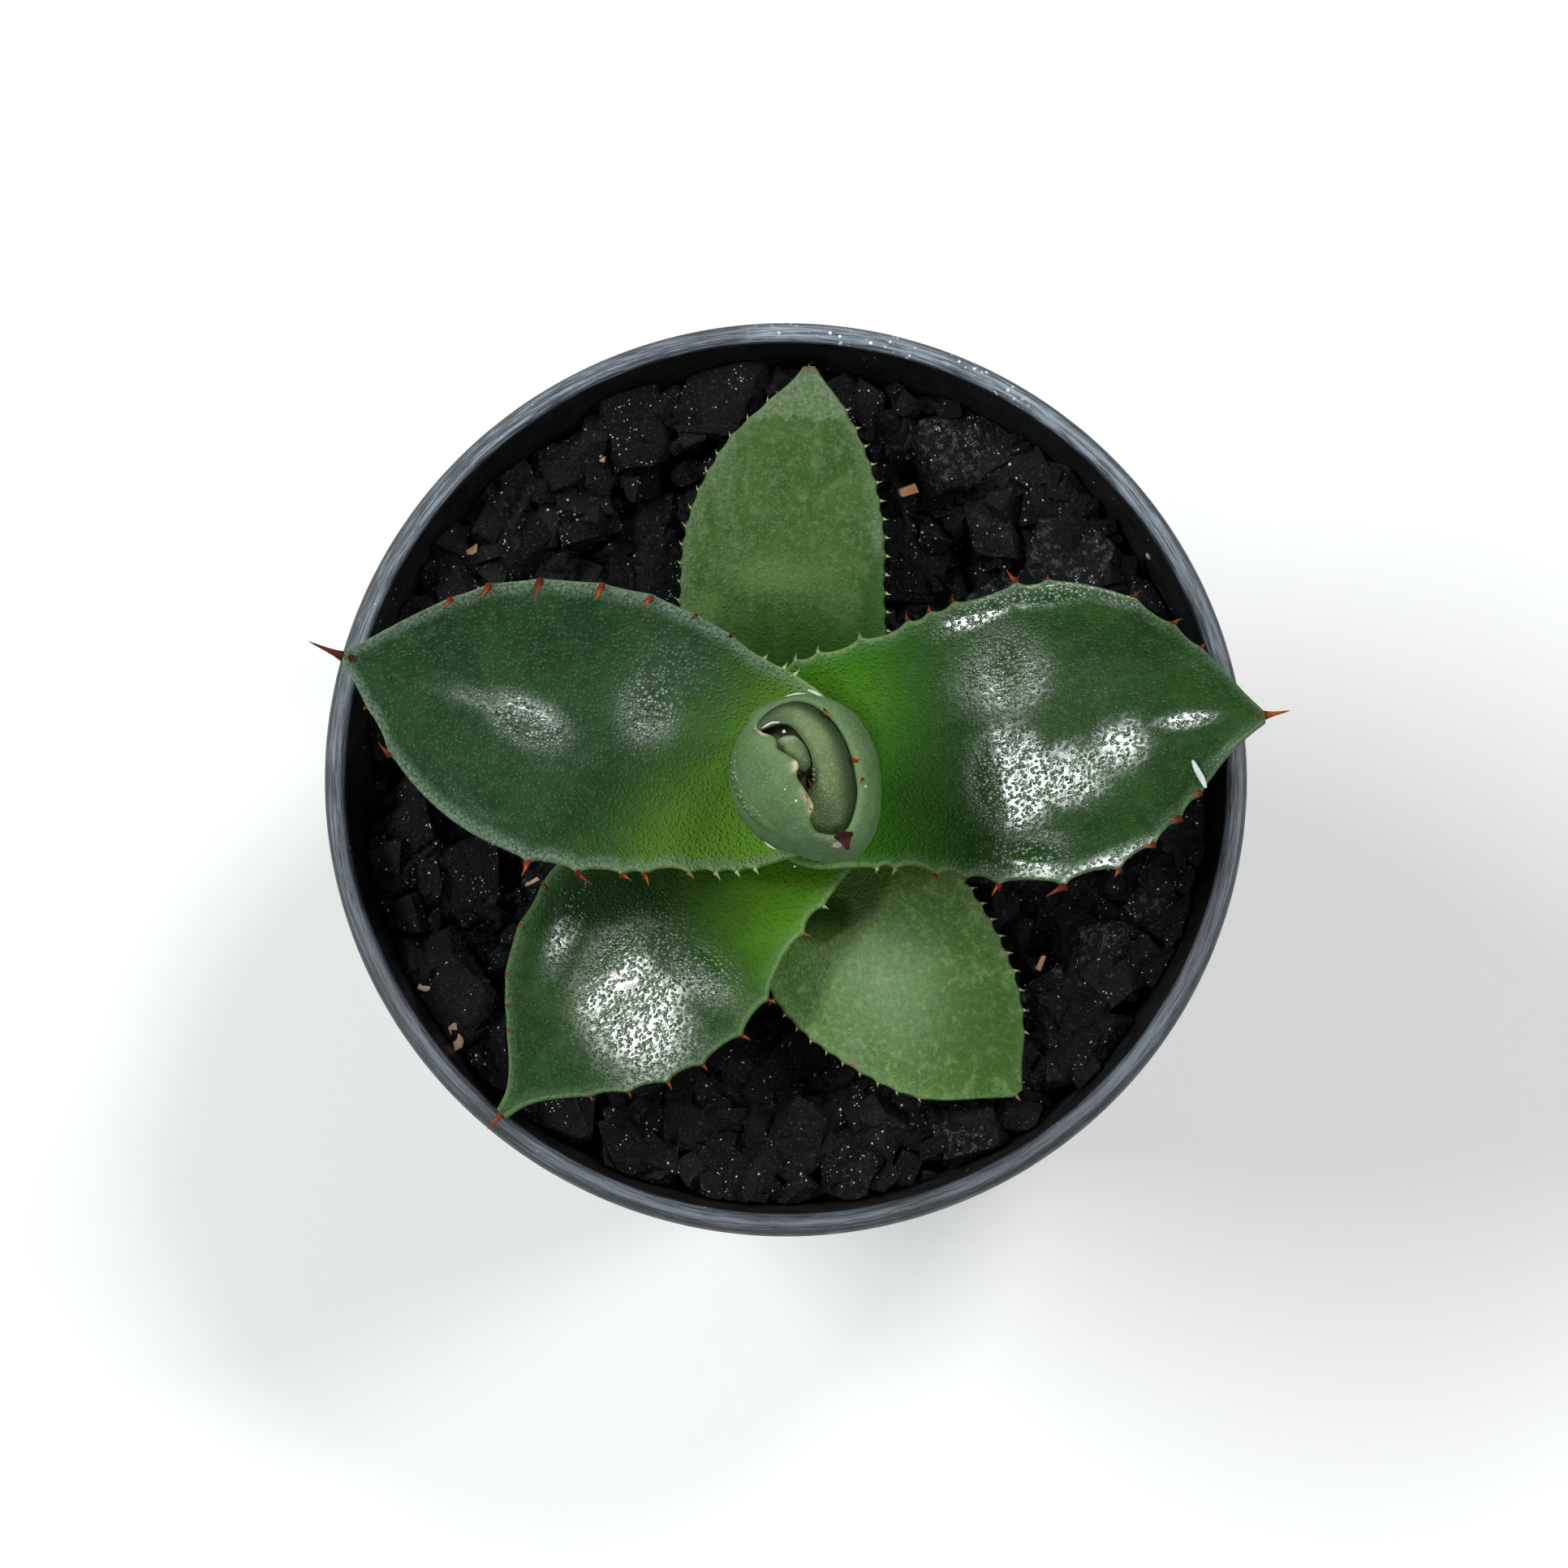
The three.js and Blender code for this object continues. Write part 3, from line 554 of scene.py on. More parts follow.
def charcoal_finish():
    """Black faces streaked along each chip's own grain, with damp patches and patches of painted silvery
    glints
    """
    finish = Finish("damp_charcoal")
    grain = finish.attribute("grain", "Vector")
    tone = finish.attribute("tone")
    damp = finish.attribute("damp")
    streaks = finish.noise(0.32, finish.stretched(grain, (0.12, 1, 1)), 4, 0.6)
    pores = finish.cells(0.5, finish.stretched(grain, (0.35, 1, 1)))
    rough_face = finish.noise(1.6, grain, 5, 0.62)
    grit = finish.noise(0.3, grain, 2, 0.7)
    tint = finish.scaled(streaks, 0.5, finish.times(rough_face, 0.5))
    coal = finish.mix(finish.ramp(tint, 0.38, 0.66), (0.0004, 0.0004, 0.0005), (0.0036, 0.0038, 0.0046))
    color = finish.mix(finish.times(tone, 0.4), coal, (0.011, 0.0108, 0.0108))
    color = finish.mix(finish.ramp(grit, 0.58, 0.74, 0, 0.8), color, (0.05, 0.05, 0.056))
    # Painted glints: clusters of pale silvery specks on the faces
    glint = finish.ramp(finish.cells(0.33, grain), 0.34, 0.18)
    lot, _, _ = finish.parts(finish.cells(0.33, grain, output="Color"))
    crowd = finish.ramp(finish.noise(2.8, grain, 4, 0.6), 0.5, 0.64, 0.998, 0.62)
    spark = finish.times(glint, finish.math("GREATER_THAN", lot, crowd))
    color = finish.mix(finish.times(spark, 0.9), color, (0.5, 0.52, 0.57))
    dry = finish.ramp(rough_face, 0.35, 0.65, 0.7, 0.92)
    wetness = finish.times(damp, finish.ramp(finish.noise(0.9, grain, 4, 0.65), 0.48, 0.6))
    relief = finish.bump(streaks, 0.2)
    relief = finish.bump(finish.ramp(pores, 0.1, 0.35), 0.08, relief)
    relief = finish.bump(grit, 0.2, relief)
    relief = finish.bump(rough_face, 0.65, relief)
    finish.feed(finish.skin["Specular IOR Level"], finish.ramp(wetness, 0.2, 0.8, 0.13, 0.5))
    return finish.paint(color, finish.blend(wetness, dry, 0.2), relief)


def store(thing, name, kind, values):
    """Keeps a value, or a vector, for each point of the mesh"""
    layer = thing.data.attributes.new(name, kind, "POINT")
    field = "vector" if kind == "FLOAT_VECTOR" else "value"
    layer.data.foreach_set(field, np.asarray(values, np.float32).ravel())


def random_corners(half, rng):
    """Corners of a block with these half sizes, each drawn in or out by chance"""
    return [
        [(1 if k & bit else -1) * h * rng.uniform(0.6, 1.1) for bit, h in zip((1, 2, 4), half)]
        for k in range(8)
    ]


def grain_shift(rng):
    """A place of its own in the grain's pattern for each chip"""
    return rng.uniform(-50, 50, 3)


def make_charcoal():
    """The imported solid's chips, broken finer, over a bed that closes the gaps between them"""
    draw = number_stream(CHIP_SEED)
    rng = np.random.default_rng(CHIP_SEED)
    points, faces, grain, tone, damp = [], [], [], [], []
    for x, y, size in chip_places(draw):
        corners, turn = chip_corners(draw, size)
        local, normals, chip_faces = broken_block(corners, rng, CHIP_CUTS, CHIP_GRAIN)
        local = fractured(local, normals, rng)
        world = local @ np.array(turn).T + (x, y, bed_top + CHIP_LIFT * size)
        top = world[:, 2].max()
        if top > chip_ceiling:
            world[:, 2] = bed_top + (world[:, 2] - bed_top) * (chip_ceiling - bed_top) / (top - bed_top)
        world[:, 2] = np.maximum(world[:, 2], bed_bottom) + pile(x, y)
        world = within_pot(world)
        first = len(points)
        points.extend(world)
        faces.extend([[first + k for k in face] for face in chip_faces])
        grain.extend(local + grain_shift(rng))
        tone.extend([rng.uniform(0, 1) ** 2] * len(local))
        wet = np.clip(DAMP + DAMP_TO_RIGHT * x + rng.uniform(-0.3, 0.4), 0, 1)
        damp.extend([float(wet)] * len(local))
    chips = make_object("charcoal_top_dressing", points, faces, charcoal_finish())
    store(chips, "grain", "FLOAT_VECTOR", np.array(grain) * MM)
    store(chips, "tone", "FLOAT", tone)
    store(chips, "damp", "FLOAT", damp)
    return chips


FILLER_SEED = 11
FILLER_SHAPES = 7
FILLER_GRAIN = 4
FILLER_TILT = 0.9
FILLER_EDGE_ROOM = 1.7
# [height over the bed, pieces a square metre, smallest, largest] of each layer strewn
FILLER_LAYERS = [(0.3, 110000, 3.8, 7.4), (1.5, 45000, 2.6, 5.2), (0.9, 90000, 0.8, 2.2)]
filler_rng = np.random.default_rng(FILLER_SEED)


def make_filler_shapes():
    """A few small broken blocks, one millimetre across, to be scattered between the chips"""
    shelf = bpy.data.collections.new("filler_shapes")
    for k in range(FILLER_SHAPES):
        half = (0.5, filler_rng.uniform(0.28, 0.42), filler_rng.uniform(0.18, 0.32))
        points, _, faces = broken_block(random_corners(half, filler_rng), filler_rng, 6, 9)
        block = make_object(f"filler_{k}", points, faces)
        store(block, "grain", "FLOAT_VECTOR", (points * FILLER_GRAIN + grain_shift(filler_rng)) * MM)
        bpy.context.scene.collection.objects.unlink(block)
        shelf.objects.link(block)
    return shelf


class NodeTree:
    """A tree of geometry nodes, joined up as they are asked for"""

    def __init__(self, name, inputs, result):
        self.tree = bpy.data.node_groups.new(name, "GeometryNodeTree")
        sockets = self.tree.interface
        for label, kind in inputs.items():
            sockets.new_socket(label, in_out="INPUT", socket_type="NodeSocket" + kind)
        sockets.new_socket(result, in_out="OUTPUT", socket_type="NodeSocketGeometry")
        self.given = self.tree.nodes.new("NodeGroupInput").outputs

    def step(self, kind, inputs, **settings):
        """Outputs of a new node whose inputs are values, other nodes' sockets or lists of them"""
        node = self.tree.nodes.new(kind)
        for key, value in settings.items():
            setattr(node, key, value)
        for key, value in inputs.items():
            sockets = value if isinstance(value, list) else [value]
            for source in sockets:
                if isinstance(source, bpy.types.NodeSocket):
                    self.tree.links.new(source, node.inputs[key])
                else:
                    node.inputs[key].default_value = source
        return node.outputs

    def made(self, geometry, material):
        """Single copies made real, in their material"""
        real = self.step("GeometryNodeRealizeInstances", {0: geometry})
        return self.step("GeometryNodeSetMaterial", {"Geometry": real[0], "Material": material})[0]

    def ended(self, geometry):
        self.step("NodeGroupOutput", {0: geometry})
        return self.tree


def scatter_tree():
    """Strews turned and sized copies of a collection's pieces over a mesh"""
    tree = NodeTree("strewn pieces", {
        "Ground": "Geometry", "Pieces": "Collection", "Per square metre": "Float",
        "Smallest": "Float", "Largest": "Float", "Seed": "Int", "Finish": "Material",
    }, "Strewn")
    given = tree.given
    seed = given["Seed"]
    spread = tree.step("GeometryNodeDistributePointsOnFaces", {
        "Mesh": given["Ground"], "Density": given["Per square metre"], "Seed": seed,
    }, distribute_method="RANDOM")
    pieces = tree.step("GeometryNodeCollectionInfo", {
        "Collection": given["Pieces"], "Separate Children": True, "Reset Children": True,
    })
    turn = tree.step("FunctionNodeRandomValue", {
        0: (-FILLER_TILT, -FILLER_TILT, 0), 1: (FILLER_TILT, FILLER_TILT, 2 * math.pi), "Seed": seed,
    }, data_type="FLOAT_VECTOR")
    size = tree.step("FunctionNodeRandomValue", {
        2: given["Smallest"], 3: given["Largest"], "Seed": seed,
    }, data_type="FLOAT")
    copies = tree.step("GeometryNodeInstanceOnPoints", {
        "Points": spread["Points"], "Instance": pieces[0], "Pick Instance": True,
        "Rotation": turn[0], "Scale": size[1],
    })
    shade = tree.step("FunctionNodeRandomValue", {"Seed": seed}, data_type="FLOAT")
    toned = tree.step("GeometryNodeStoreNamedAttribute", {
        "Geometry": copies[0], "Name": "tone", "Value": shade[1],
    }, data_type="FLOAT", domain="INSTANCE")
    return tree.ended(tree.made(toned[0], given["Finish"]))


def run_tree(thing, tree, **inputs):
    """Runs a tree on an object with inputs by name, and keeps what it makes as the plain mesh"""
    modifier = thing.modifiers.new(tree.name, "NODES")
    modifier.node_group = tree
    for item in tree.interface.items_tree:
        if item.item_type == "SOCKET" and item.in_out == "INPUT" and item.name in inputs:
            modifier[item.identifier] = inputs[item.name]
    bake_modifiers(thing)


def bed_disc(name, radius, height, rings=24, sides=96):
    """Round sheet of small squares, raised towards the pot's wall, to strew pieces on"""
    points = [(0, 0, height)]
    for k in range(1, rings + 1):
        for a in turns(sides):
            x, y = radius * k / rings * math.cos(a), radius * k / rings * math.sin(a)
            points.append((x, y, height + pile(x, y)))
    faces = [(0, 1 + j, 1 + (j + 1) % sides) for j in range(sides)]
    for k in range(rings - 1):
        for j in range(sides):
            a, b = 1 + k * sides + j, 1 + k * sides + (j + 1) % sides
            faces.append((a, a + sides, b + sides, b))
    return make_object(name, points, faces)


def join_meshes(first, *others):
    """Adds the other meshes to the first, with their materials and attributes"""
    with bpy.context.temp_override(active_object=first, selected_editable_objects=[first, *others]):
        bpy.ops.object.join()


charcoal = make_charcoal()
filler_shapes = make_filler_shapes()
scatter = scatter_tree()
coal = charcoal.data.materials[0]
for filler, (height, count, smallest, largest) in enumerate(FILLER_LAYERS):
    strewn = bed_disc(f"filler_layer_{filler}", MOUTH_RADIUS - FILLER_EDGE_ROOM, bed_top + height)
    run_tree(strewn, scatter, **{
        "Pieces": filler_shapes, "Per square metre": float(count), "Smallest": float(smallest),
        "Largest": float(largest), "Seed": FILLER_SEED + filler, "Finish": coal,
    })
    join_meshes(charcoal, strewn)
ground = turned("charcoal_bed", [
    (0, bed_bottom), (inner_radius(bed_bottom) - CLEARANCE, bed_bottom),
    (inner_radius(bed_top) - CLEARANCE, bed_top), (0, bed_top),
], 96, coal)
join_meshes(charcoal, ground)
lumps = np.empty(3 * len(charcoal.data.vertices), np.float32)
charcoal.data.vertices.foreach_get("co", lumps)
charcoal.data.vertices.foreach_set("co", (within_pot(lumps.reshape(-1, 3) / MM) * MM).ravel())
smooth(charcoal, 28)
settle(charcoal, "charcoal", "charcoal_chips")


# Stem
# The plant's short woody stem stands in the mix and carries the leaves and the bud. The cut
# bases of lost leaves ring it below, and the living leaves' bases swell out of it above.
STEM_FOOT_BELOW_RIM = 38
STEM_TOP_ABOVE_RIM = 6.8
STEM_SIDES = 96
STEM_LEVELS = 150
BASE_SWELL = 2.2
BASE_SPREAD = 52
BASE_DEPTH = 5
BASE_OVERLAP = 1.2
SCAR_RELIEF = 0.3
SCAR_TURN = 2.4
SCAR_BELOW_RIM = 8
# The stem tapers to this share of its radius over this height of its foot
FOOT_SHARE = 0.6
FOOT_TAPER = 10
stem_top = POT_HEIGHT + STEM_TOP_ABOVE_RIM
stem_foot = POT_HEIGHT - STEM_FOOT_BELOW_RIM
# Each living leaf's azimuth and the height over the rim of its underside at the stem
LEAF_BASES = [(166.4, 3.1), (7.2, -0.2), (227.1, -4), (89.2, -7), (306.4, -9.7)]


def apart(azimuth, other):
    """Degrees from the other azimuth to this one, from -180 to 180"""
    return (azimuth - other + 540) % 360 - 180


def stem_radius(turn, z):
    """Radius of the stem in a direction and at a height, with its leaf bases and scars"""
    over_foot = min((z - stem_foot) / FOOT_TAPER, 1)
    radius = STEM_RADIUS * min(1, FOOT_SHARE + (1 - FOOT_SHARE) * over_foot**0.6)
    for azimuth, under in LEAF_BASES:
        away = apart(math.degrees(turn), azimuth)
        below = POT_HEIGHT + under - z
        if -BASE_OVERLAP < below < BASE_DEPTH:
            swell = BASE_SWELL * math.exp(-(away / BASE_SPREAD) ** 2)
            radius += swell * (1 - max(below, 0) / BASE_DEPTH) ** 1.5
    if z < POT_HEIGHT - SCAR_BELOW_RIM:
        radius += SCAR_RELIEF * (0.5 + 0.5 * math.sin(z * SCAR_TURN + 2 * math.sin(turn)))
    return radius


def stem_finish():
    finish = Finish("stem_tissue", 0.55)
    _, _, z = finish.parts(finish.place)
    upper = finish.ramp(z, (POT_HEIGHT - 10) * MM, (POT_HEIGHT - 2) * MM)
    fibres = finish.noise(0.5, finish.stretched(finish.place, (1, 1, 0.25)), 4)
    living = finish.mix(fibres, (0.16, 0.24, 0.06), (0.36, 0.42, 0.17))
    dead = finish.mix(fibres, (0.05, 0.03, 0.015), (0.2, 0.13, 0.07))
    return finish.paint(finish.mix(upper, dead, living), None, finish.bump(fibres, 0.25))


def make_stem():
    rings = []
    for z in np.linspace(stem_foot, stem_top, STEM_LEVELS):
        reach = [(turn, stem_radius(turn, z)) for turn in turns(STEM_SIDES)]
        rings.append([(STEM_X + r * math.cos(a), STEM_Y + r * math.sin(a), z) for a, r in reach])
    foot, top = (STEM_X, STEM_Y, stem_foot), (STEM_X, STEM_Y, stem_top)
    thing = capped("rosette_stem", rings, foot, top, stem_finish())
    smooth(thing, 60)
    return thing


settle(make_stem(), "stem_tissue", "stem")


# Leaves
# Five thick, water-storing blades with horny toothed margins and a spine at the tip. Each is
# measured along its azimuth from the stem's axis: u outwards, w to its left, v from 1 at the
# left margin to -1. The two lowest are matte with wax, and the others shine with spilt water.
LEAF_EDGE = 0.9
EDGE_ROLL = 0.32
LEAF_STATIONS = 190
LEAF_COLUMNS = 46
ROLL_STEPS = 3
TIP_LENGTH = 16
# How much of the stations crowd towards the tip
CROWDING = 0.12
# outline is [u, middle in w, half width], rise is [u, height of the middle], cup is [u, how far the
# margins stand up], and teeth are [u, length] with a lean outwards and forwards where it is their own
LEAVES = [
    {
        "name": "leaf_left",
        "slot": "blue_leaf",
        "pale_teeth": 0.0,
        "azimuth": 166.4,
        "outline": [
            [-4, -1.3, 3.4], [-3, -1.4, 6.4], [0, -1.5, 8.9], [4, -1.2, 10.8], [8, -1, 11.9],
            [12, -1.2, 13.2], [16, -0.9, 14.3], [20, -0.6, 15], [24, -0.2, 15.1], [28, 0.1, 14.7],
            [32, 0.4, 13.8], [36, 0.5, 12.1], [40, 0.6, 9.2], [44, 0.3, 5.2], [46.5, 0.1, 2.5],
            [48.4, 0, 0.7],
        ],
        "rise": [[-4, 5.7], [0, 5.6], [6, 6.7], [15, 10.4], [30, 17.8], [42, 23.8], [48.4, 27.4]],
        "cup": [[-4, 2.6], [0, 3.2], [10, 3.2], [30, 2.8], [42, 1.8], [48.4, 0.3]],
        "thickness": [[-4, 2.6], [8, 2.9], [30, 2.2], [48.4, 1.2]],
        "teeth_left": [
            [3, 0.9], [4.8, 0.9], [6.9, 1], [9.6, 1], [14, 1.4, 0.9, -0.25], [16.2, 1.2, 0.6, -0.7],
            [20.7, 1.5, 0.5, -0.75], [25.8, 1.7, 0.9, 0.1], [41.7, 1.6, 0.4, 0.85], [45, 0.6],
        ],
        "lean_left": (0.75, -0.45),
        "teeth_right": [
            [3.8, 0.8, 0.8, -0.2], [5.1, 0.8, 0.8, -0.2], [7.3, 0.8, 0.8, -0.1], [11.3, 1.1, -0.3, 0.3],
            [15.4, 1.1, -0.5, 0.3], [20.3, 1.9], [25.4, 2.5], [31.5, 2.6], [36.3, 2.3, -0.65, 0.65],
            [39.6, 1.5, -0.5, 0.8],
        ],
        "lean_right": (-0.82, 0.4),
        "spine": {"length": 4.1, "radius": 0.75, "rise": 2, "swing": -0.5, "tone": 0.12},
        "scallop": (0.3, 0.12),
        "swell": (0.22, 0.03),
        # [height, width, places in u and w] of folds pressed into the blade
        "relief": [
            [-0.16, 0.9, [(47.3, -0.2), (43.8, -0.2), (40.2, 0.3), (34, 0)]],
            [-0.1, 0.45, [(44.4, -3.5), (40.1, -5.4), (36, -7.2)]],
            [0.35, 3, [(34, 0.4), (27, 1)]],
            [0.3, 3, [(20, -1.4), (14, 0.4)]],
        ],
        # [u, w, reach along, reach across, strength, turn] of patches that shine
        "shine": [
            (29.3, 0.8, 5, 2.8, 1.35, -8), (34.5, 0, 5, 1.5, 0.8, 4), (39, 0.4, 4, 0.9, 0.4, -6),
            (17.8, -4.1, 4, 5.2, 1.0, 0), (16, -10.6, 8, 2, 0.45, -14), (33, 11, 9, 1.6, 0.4, -28),
            (16, 12.4, 9, 1.2, 0.25, 8), (16, -9.5, 7, 4.5, 0.5, -10), (28, 2, 8, 5, 0.42, -8),
        ],
    },
    {
        "name": "leaf_right",
        "slot": "wet_leaf",
        "pale_teeth": 0.0,
        "azimuth": 7.2,
        "outline": [
            [-4, 1.6, 4], [-3, 2.2, 8.2], [0, 3.2, 11], [4, 3.5, 11.8], [8, 3.5, 12.4], [12, 3.2, 13.3],
            [16, 3, 14.4], [20, 2.7, 15.4], [24, 2.5, 16], [28, 2.4, 15.9], [32, 2.3, 15.1],
            [36, 2.2, 12.8], [40, 2, 9.2], [44, 1.5, 4.7], [46.3, 0.6, 2.2], [47.9, 0, 0.7],
        ],
        "rise": [[-4, 2.4], [0, 2.2], [6, 3.1], [15, 6.2], [30, 13], [42, 18.5], [47.9, 21.5]],
        "cup": [[-4, 2.2], [0, 2.6], [10, 2.8], [30, 2.6], [42, 2], [47.9, 0.3]],
        "thickness": [[-4, 2.6], [8, 2.9], [30, 2.2], [47.9, 1.2]],
        "teeth_left": [
            [1, 0.8], [3.5, 0.8], [8.1, 1], [13.3, 1.2], [15.7, 0.9], [18.3, 1], [24.9, 1.5, 0.7, -0.5],
            [28.2, 0.6], [36.6, 1.1, 0.75, 0.3], [40.2, 1.2, 0.7, 0.4], [42.6, 0.8],
        ],
        "lean_left": (0.65, 0.1),
        "teeth_right": [
            [6.7, 0.8], [8.6, 0.8], [12.7, 1], [15.7, 0.7], [19, 1.4, 0.85, -0.15], [25.6, 2, 0.3, -0.9],
            [31.3, 1.3, 0.5, -0.6], [35, 1.5, -0.3, -0.75], [37.9, 1.7, -0.4, -0.6], [40.3, 1.3, -0.4, -0.6],
        ],
        "lean_right": (0.8, -0.3),
        "spine": {"length": 2.9, "radius": 0.7, "rise": 0.8, "swing": 0, "tone": 0.65},
        "scallop": (0.35, 0.5),
        "swell": (0.22, 0.22),
        "relief": [
            [-0.4, 0.9, [(46, -1.6), (44.2, -2.8), (40.8, -4.6), (35.7, -6.3), (28.2, -7.2)]],
            [0.45, 1.6, [(43, -4.6), (38, -8.2), (32, -10.8), (26, -11.8), (18, -9.6)]],
            [0.42, 3.2, [(21.2, 11), (20.8, 2), (20.8, -11)]],
            [0.3, 2.2, [(19, 14.5), (28, 15.2), (35, 13)]],
            [0.25, 2.4, [(31, 1), (36, -3)]],
            [-0.18, 0.7, [(17.5, 16.2), (25, 16.4), (33, 15)]],
        ],
        "shine": [
            (21.8, -1.6, 4.2, 6, 1.7, 0), (27.5, -2.2, 5.5, 4, 1.1, 0), (33, -0.4, 4.2, 3.4, 1, 30),
            (40.2, 1.2, 3.4, 1, 1.2, -4), (20.5, 16.2, 5, 1.5, 1.4, 14), (28.5, 17, 6.5, 1.5, 1.4, -4),
            (35, 15.2, 4, 1.4, 1, -26), (22.4, 9.6, 6, 6, 1, 0), (29, 7, 10, 8, 0.32, 0),
            (22, -10.6, 5.5, 3.6, 1.1, 0), (30, -12.3, 8, 1.5, 0.9, 14), (42.5, -3.6, 4.5, 0.8, 0.6, 34),
            (41, 7, 5, 0.9, 0.4, -38),
        ],
    },
    {
        "name": "leaf_back",
        "slot": "matte_leaf",
        "pale_teeth": 0.8,
        "azimuth": 89.2,
        "outline": [
            [-2, 0, 3.4], [-1.2, 0, 5.5], [0, 0.1, 6.6], [4, 0.5, 7.9], [8, 1, 9.1],
            [12, 1.6, 10.2], [16, 2.2, 11], [20, 2.5, 11.2], [24, 2.6, 11.1], [28, 2.5, 11],
            [32, 2.3, 10.3], [36, 1.9, 9], [40, 1.4, 7], [44, 0.5, 3.9], [46.3, 0.1, 1.8], [47.9, 0, 0.7],
        ],
        "rise": [[-2, -5.1], [0, -5.1], [6, -4.6], [15, -2.4], [30, 0.6], [42, 1.4], [47.9, 1.2]],
        "cup": [[-2, 1.5], [10, 1.6], [30, 0.9], [47.9, 0.1]],
        "thickness": [[-2, 1.9], [8, 2.3], [30, 1.8], [47.9, 1]],
        "teeth_left": [[16 + 2 * k, 0.5] for k in range(15)],
        "lean_left": (0.8, 0.3),
        "teeth_right": [[15 + 2 * k, 0.68] for k in range(15)],
        "lean_right": (0.75, -0.4),
        "spine": {"length": 0.35, "radius": 0.6, "rise": 0.1, "swing": 0, "tone": 0.1, "pale": 0.25},
        "scallop": (0.22, 0.22),
        "swell": (0.22, 0.22),
        "relief": [
            [0.25, 3.5, [(36, 1.5), (24, 2)]],
            [-0.15, 1.2, [(47, 0), (41, 1), (34, 2)]],
        ],
        "shine": [(29, -7.6, 4, 1.8, 0.5, 0)],
    },
    {
        "name": "leaf_front_left",
        "slot": "wet_leaf",
        "pale_teeth": 0.0,
        "azimuth": 227.1,
        "outline": [
            [-3, 0, 3.4], [-2.1, 0, 6.2], [0, 0, 8.3], [4, -0.3, 9.2], [8, -0.6, 9.9],
            [12, -1, 10.9], [16, -1.2, 12.2], [20, -1.1, 13.2], [24, -1.1, 13.4], [28, -1, 12.6],
            [32, -1.1, 11.3], [36, -1, 8.8], [40, -0.6, 5],
            [42.5, -0.3, 2.6], [44.5, -0.1, 1.3], [46.6, 0, 0.7],
        ],
        "rise": [[-3, -1.4], [0, -1.4], [6, -0.9], [15, 0.9], [30, 4.6], [42, 7.7], [46.6, 8.7]],
        "cup": [[-3, 1.4], [10, 1.5], [20, 0.6], [32, 0.2], [42, 0.6], [46.6, 0.2]],
        "thickness": [[-3, 2.6], [8, 2.7], [30, 2.1], [46.6, 1.1]],
        "teeth_left": [
            [6.8, 0.8], [10.5, 1.1], [18.4, 1.1], [23.1, 1.1], [28.3, 1], [32.2, 1], [35.8, 0.8], [38.9, 0.7],
        ],
        "lean_left": (0.8, -0.2),
        "teeth_right": [[25.9, 0.8], [30.7, 0.7], [35.5, 0.7], [37.9, 0.6], [39.7, 0.6]],
        "lean_right": (-0.5, 0.2),
        "spine": {"length": 2.4, "radius": 0.6, "rise": 0.6, "swing": 0.1},
        "scallop": (0.42, 0.18),
        "swell": (0.22, 0.05),
        "relief": [
            [0.5, 4, [(33, -2), (25, -1)]],
            [-0.15, 1.2, [(34, -8), (24, -8), (18, -4)]],
            [0.3, 2.4, [(26, -10.5), (31, -8)]],
        ],
        "shine": [
            (27, 0.6, 8, 6.2, 1.6, 20), (21, 5, 3.4, 5.5, 1.1, 0), (34, 8, 4.6, 2, 0.8, -20),
            (22.4, -4.1, 1.6, 2.6, 0.7, 0), (28, -8.8, 6.8, 2.2, 0.85, 24), (30, 5, 7, 6.5, 1.05, 0),
        ],
    },
    {
        "name": "leaf_front_right",
        "slot": "matte_leaf",
        "pale_teeth": 0.8,
        "azimuth": 306.4,
        "outline": [
            [-3, 0, 3.2], [-2.1, -0.2, 5.6], [0, -0.5, 8], [4, -1.2, 9.6], [8, -2, 11],
            [12, -2.6, 11.9], [16, -2.8, 12.2], [20, -2.7, 11.9], [24, -2.4, 11], [28, -2.1, 9.7],
            [32, -1.9, 7.7], [34.5, -1.5, 5.6], [36.8, -0.8, 2.9], [38.8, 0, 0.7],
        ],
        "rise": [[-3, -7.9], [0, -7.9], [6, -7.2], [15, -5.2], [30, -3.2], [38.8, -2.6]],
        "cup": [[-3, 0.8], [10, 1.1], [30, 0.6], [38.8, 0.1]],
        "thickness": [[-3, 1.8], [8, 2.2], [25, 1.8], [38.8, 1]],
        "teeth_left": [[10 + 2 * k, 0.68] for k in range(13)],
        "lean_left": (0.8, 0.2),
        "teeth_right": [[11 + 2 * k, 0.5] for k in range(12)],
        "lean_right": (0.8, 0.2),
        "spine": {"length": 0.9, "radius": 0.5, "rise": 0.2, "swing": 0, "pale": 0.2},
        "scallop": (0.22, 0.22),
        "swell": (0.22, 0.22),
        "relief": [
            [0.35, 3.5, [(16, -8), (27, -7)]],
            [-0.12, 0.8, [(36, -1.5), (30, -4), (24, -4)]],
        ],
        "shine": [
            (19.8, -5, 5, 3.2, 0.4, 0), (23.7, -11, 3.4, 1.4, 0.6, 14), (26, -5.5, 4, 2.4, 0.3, 0),
        ],
    },
]


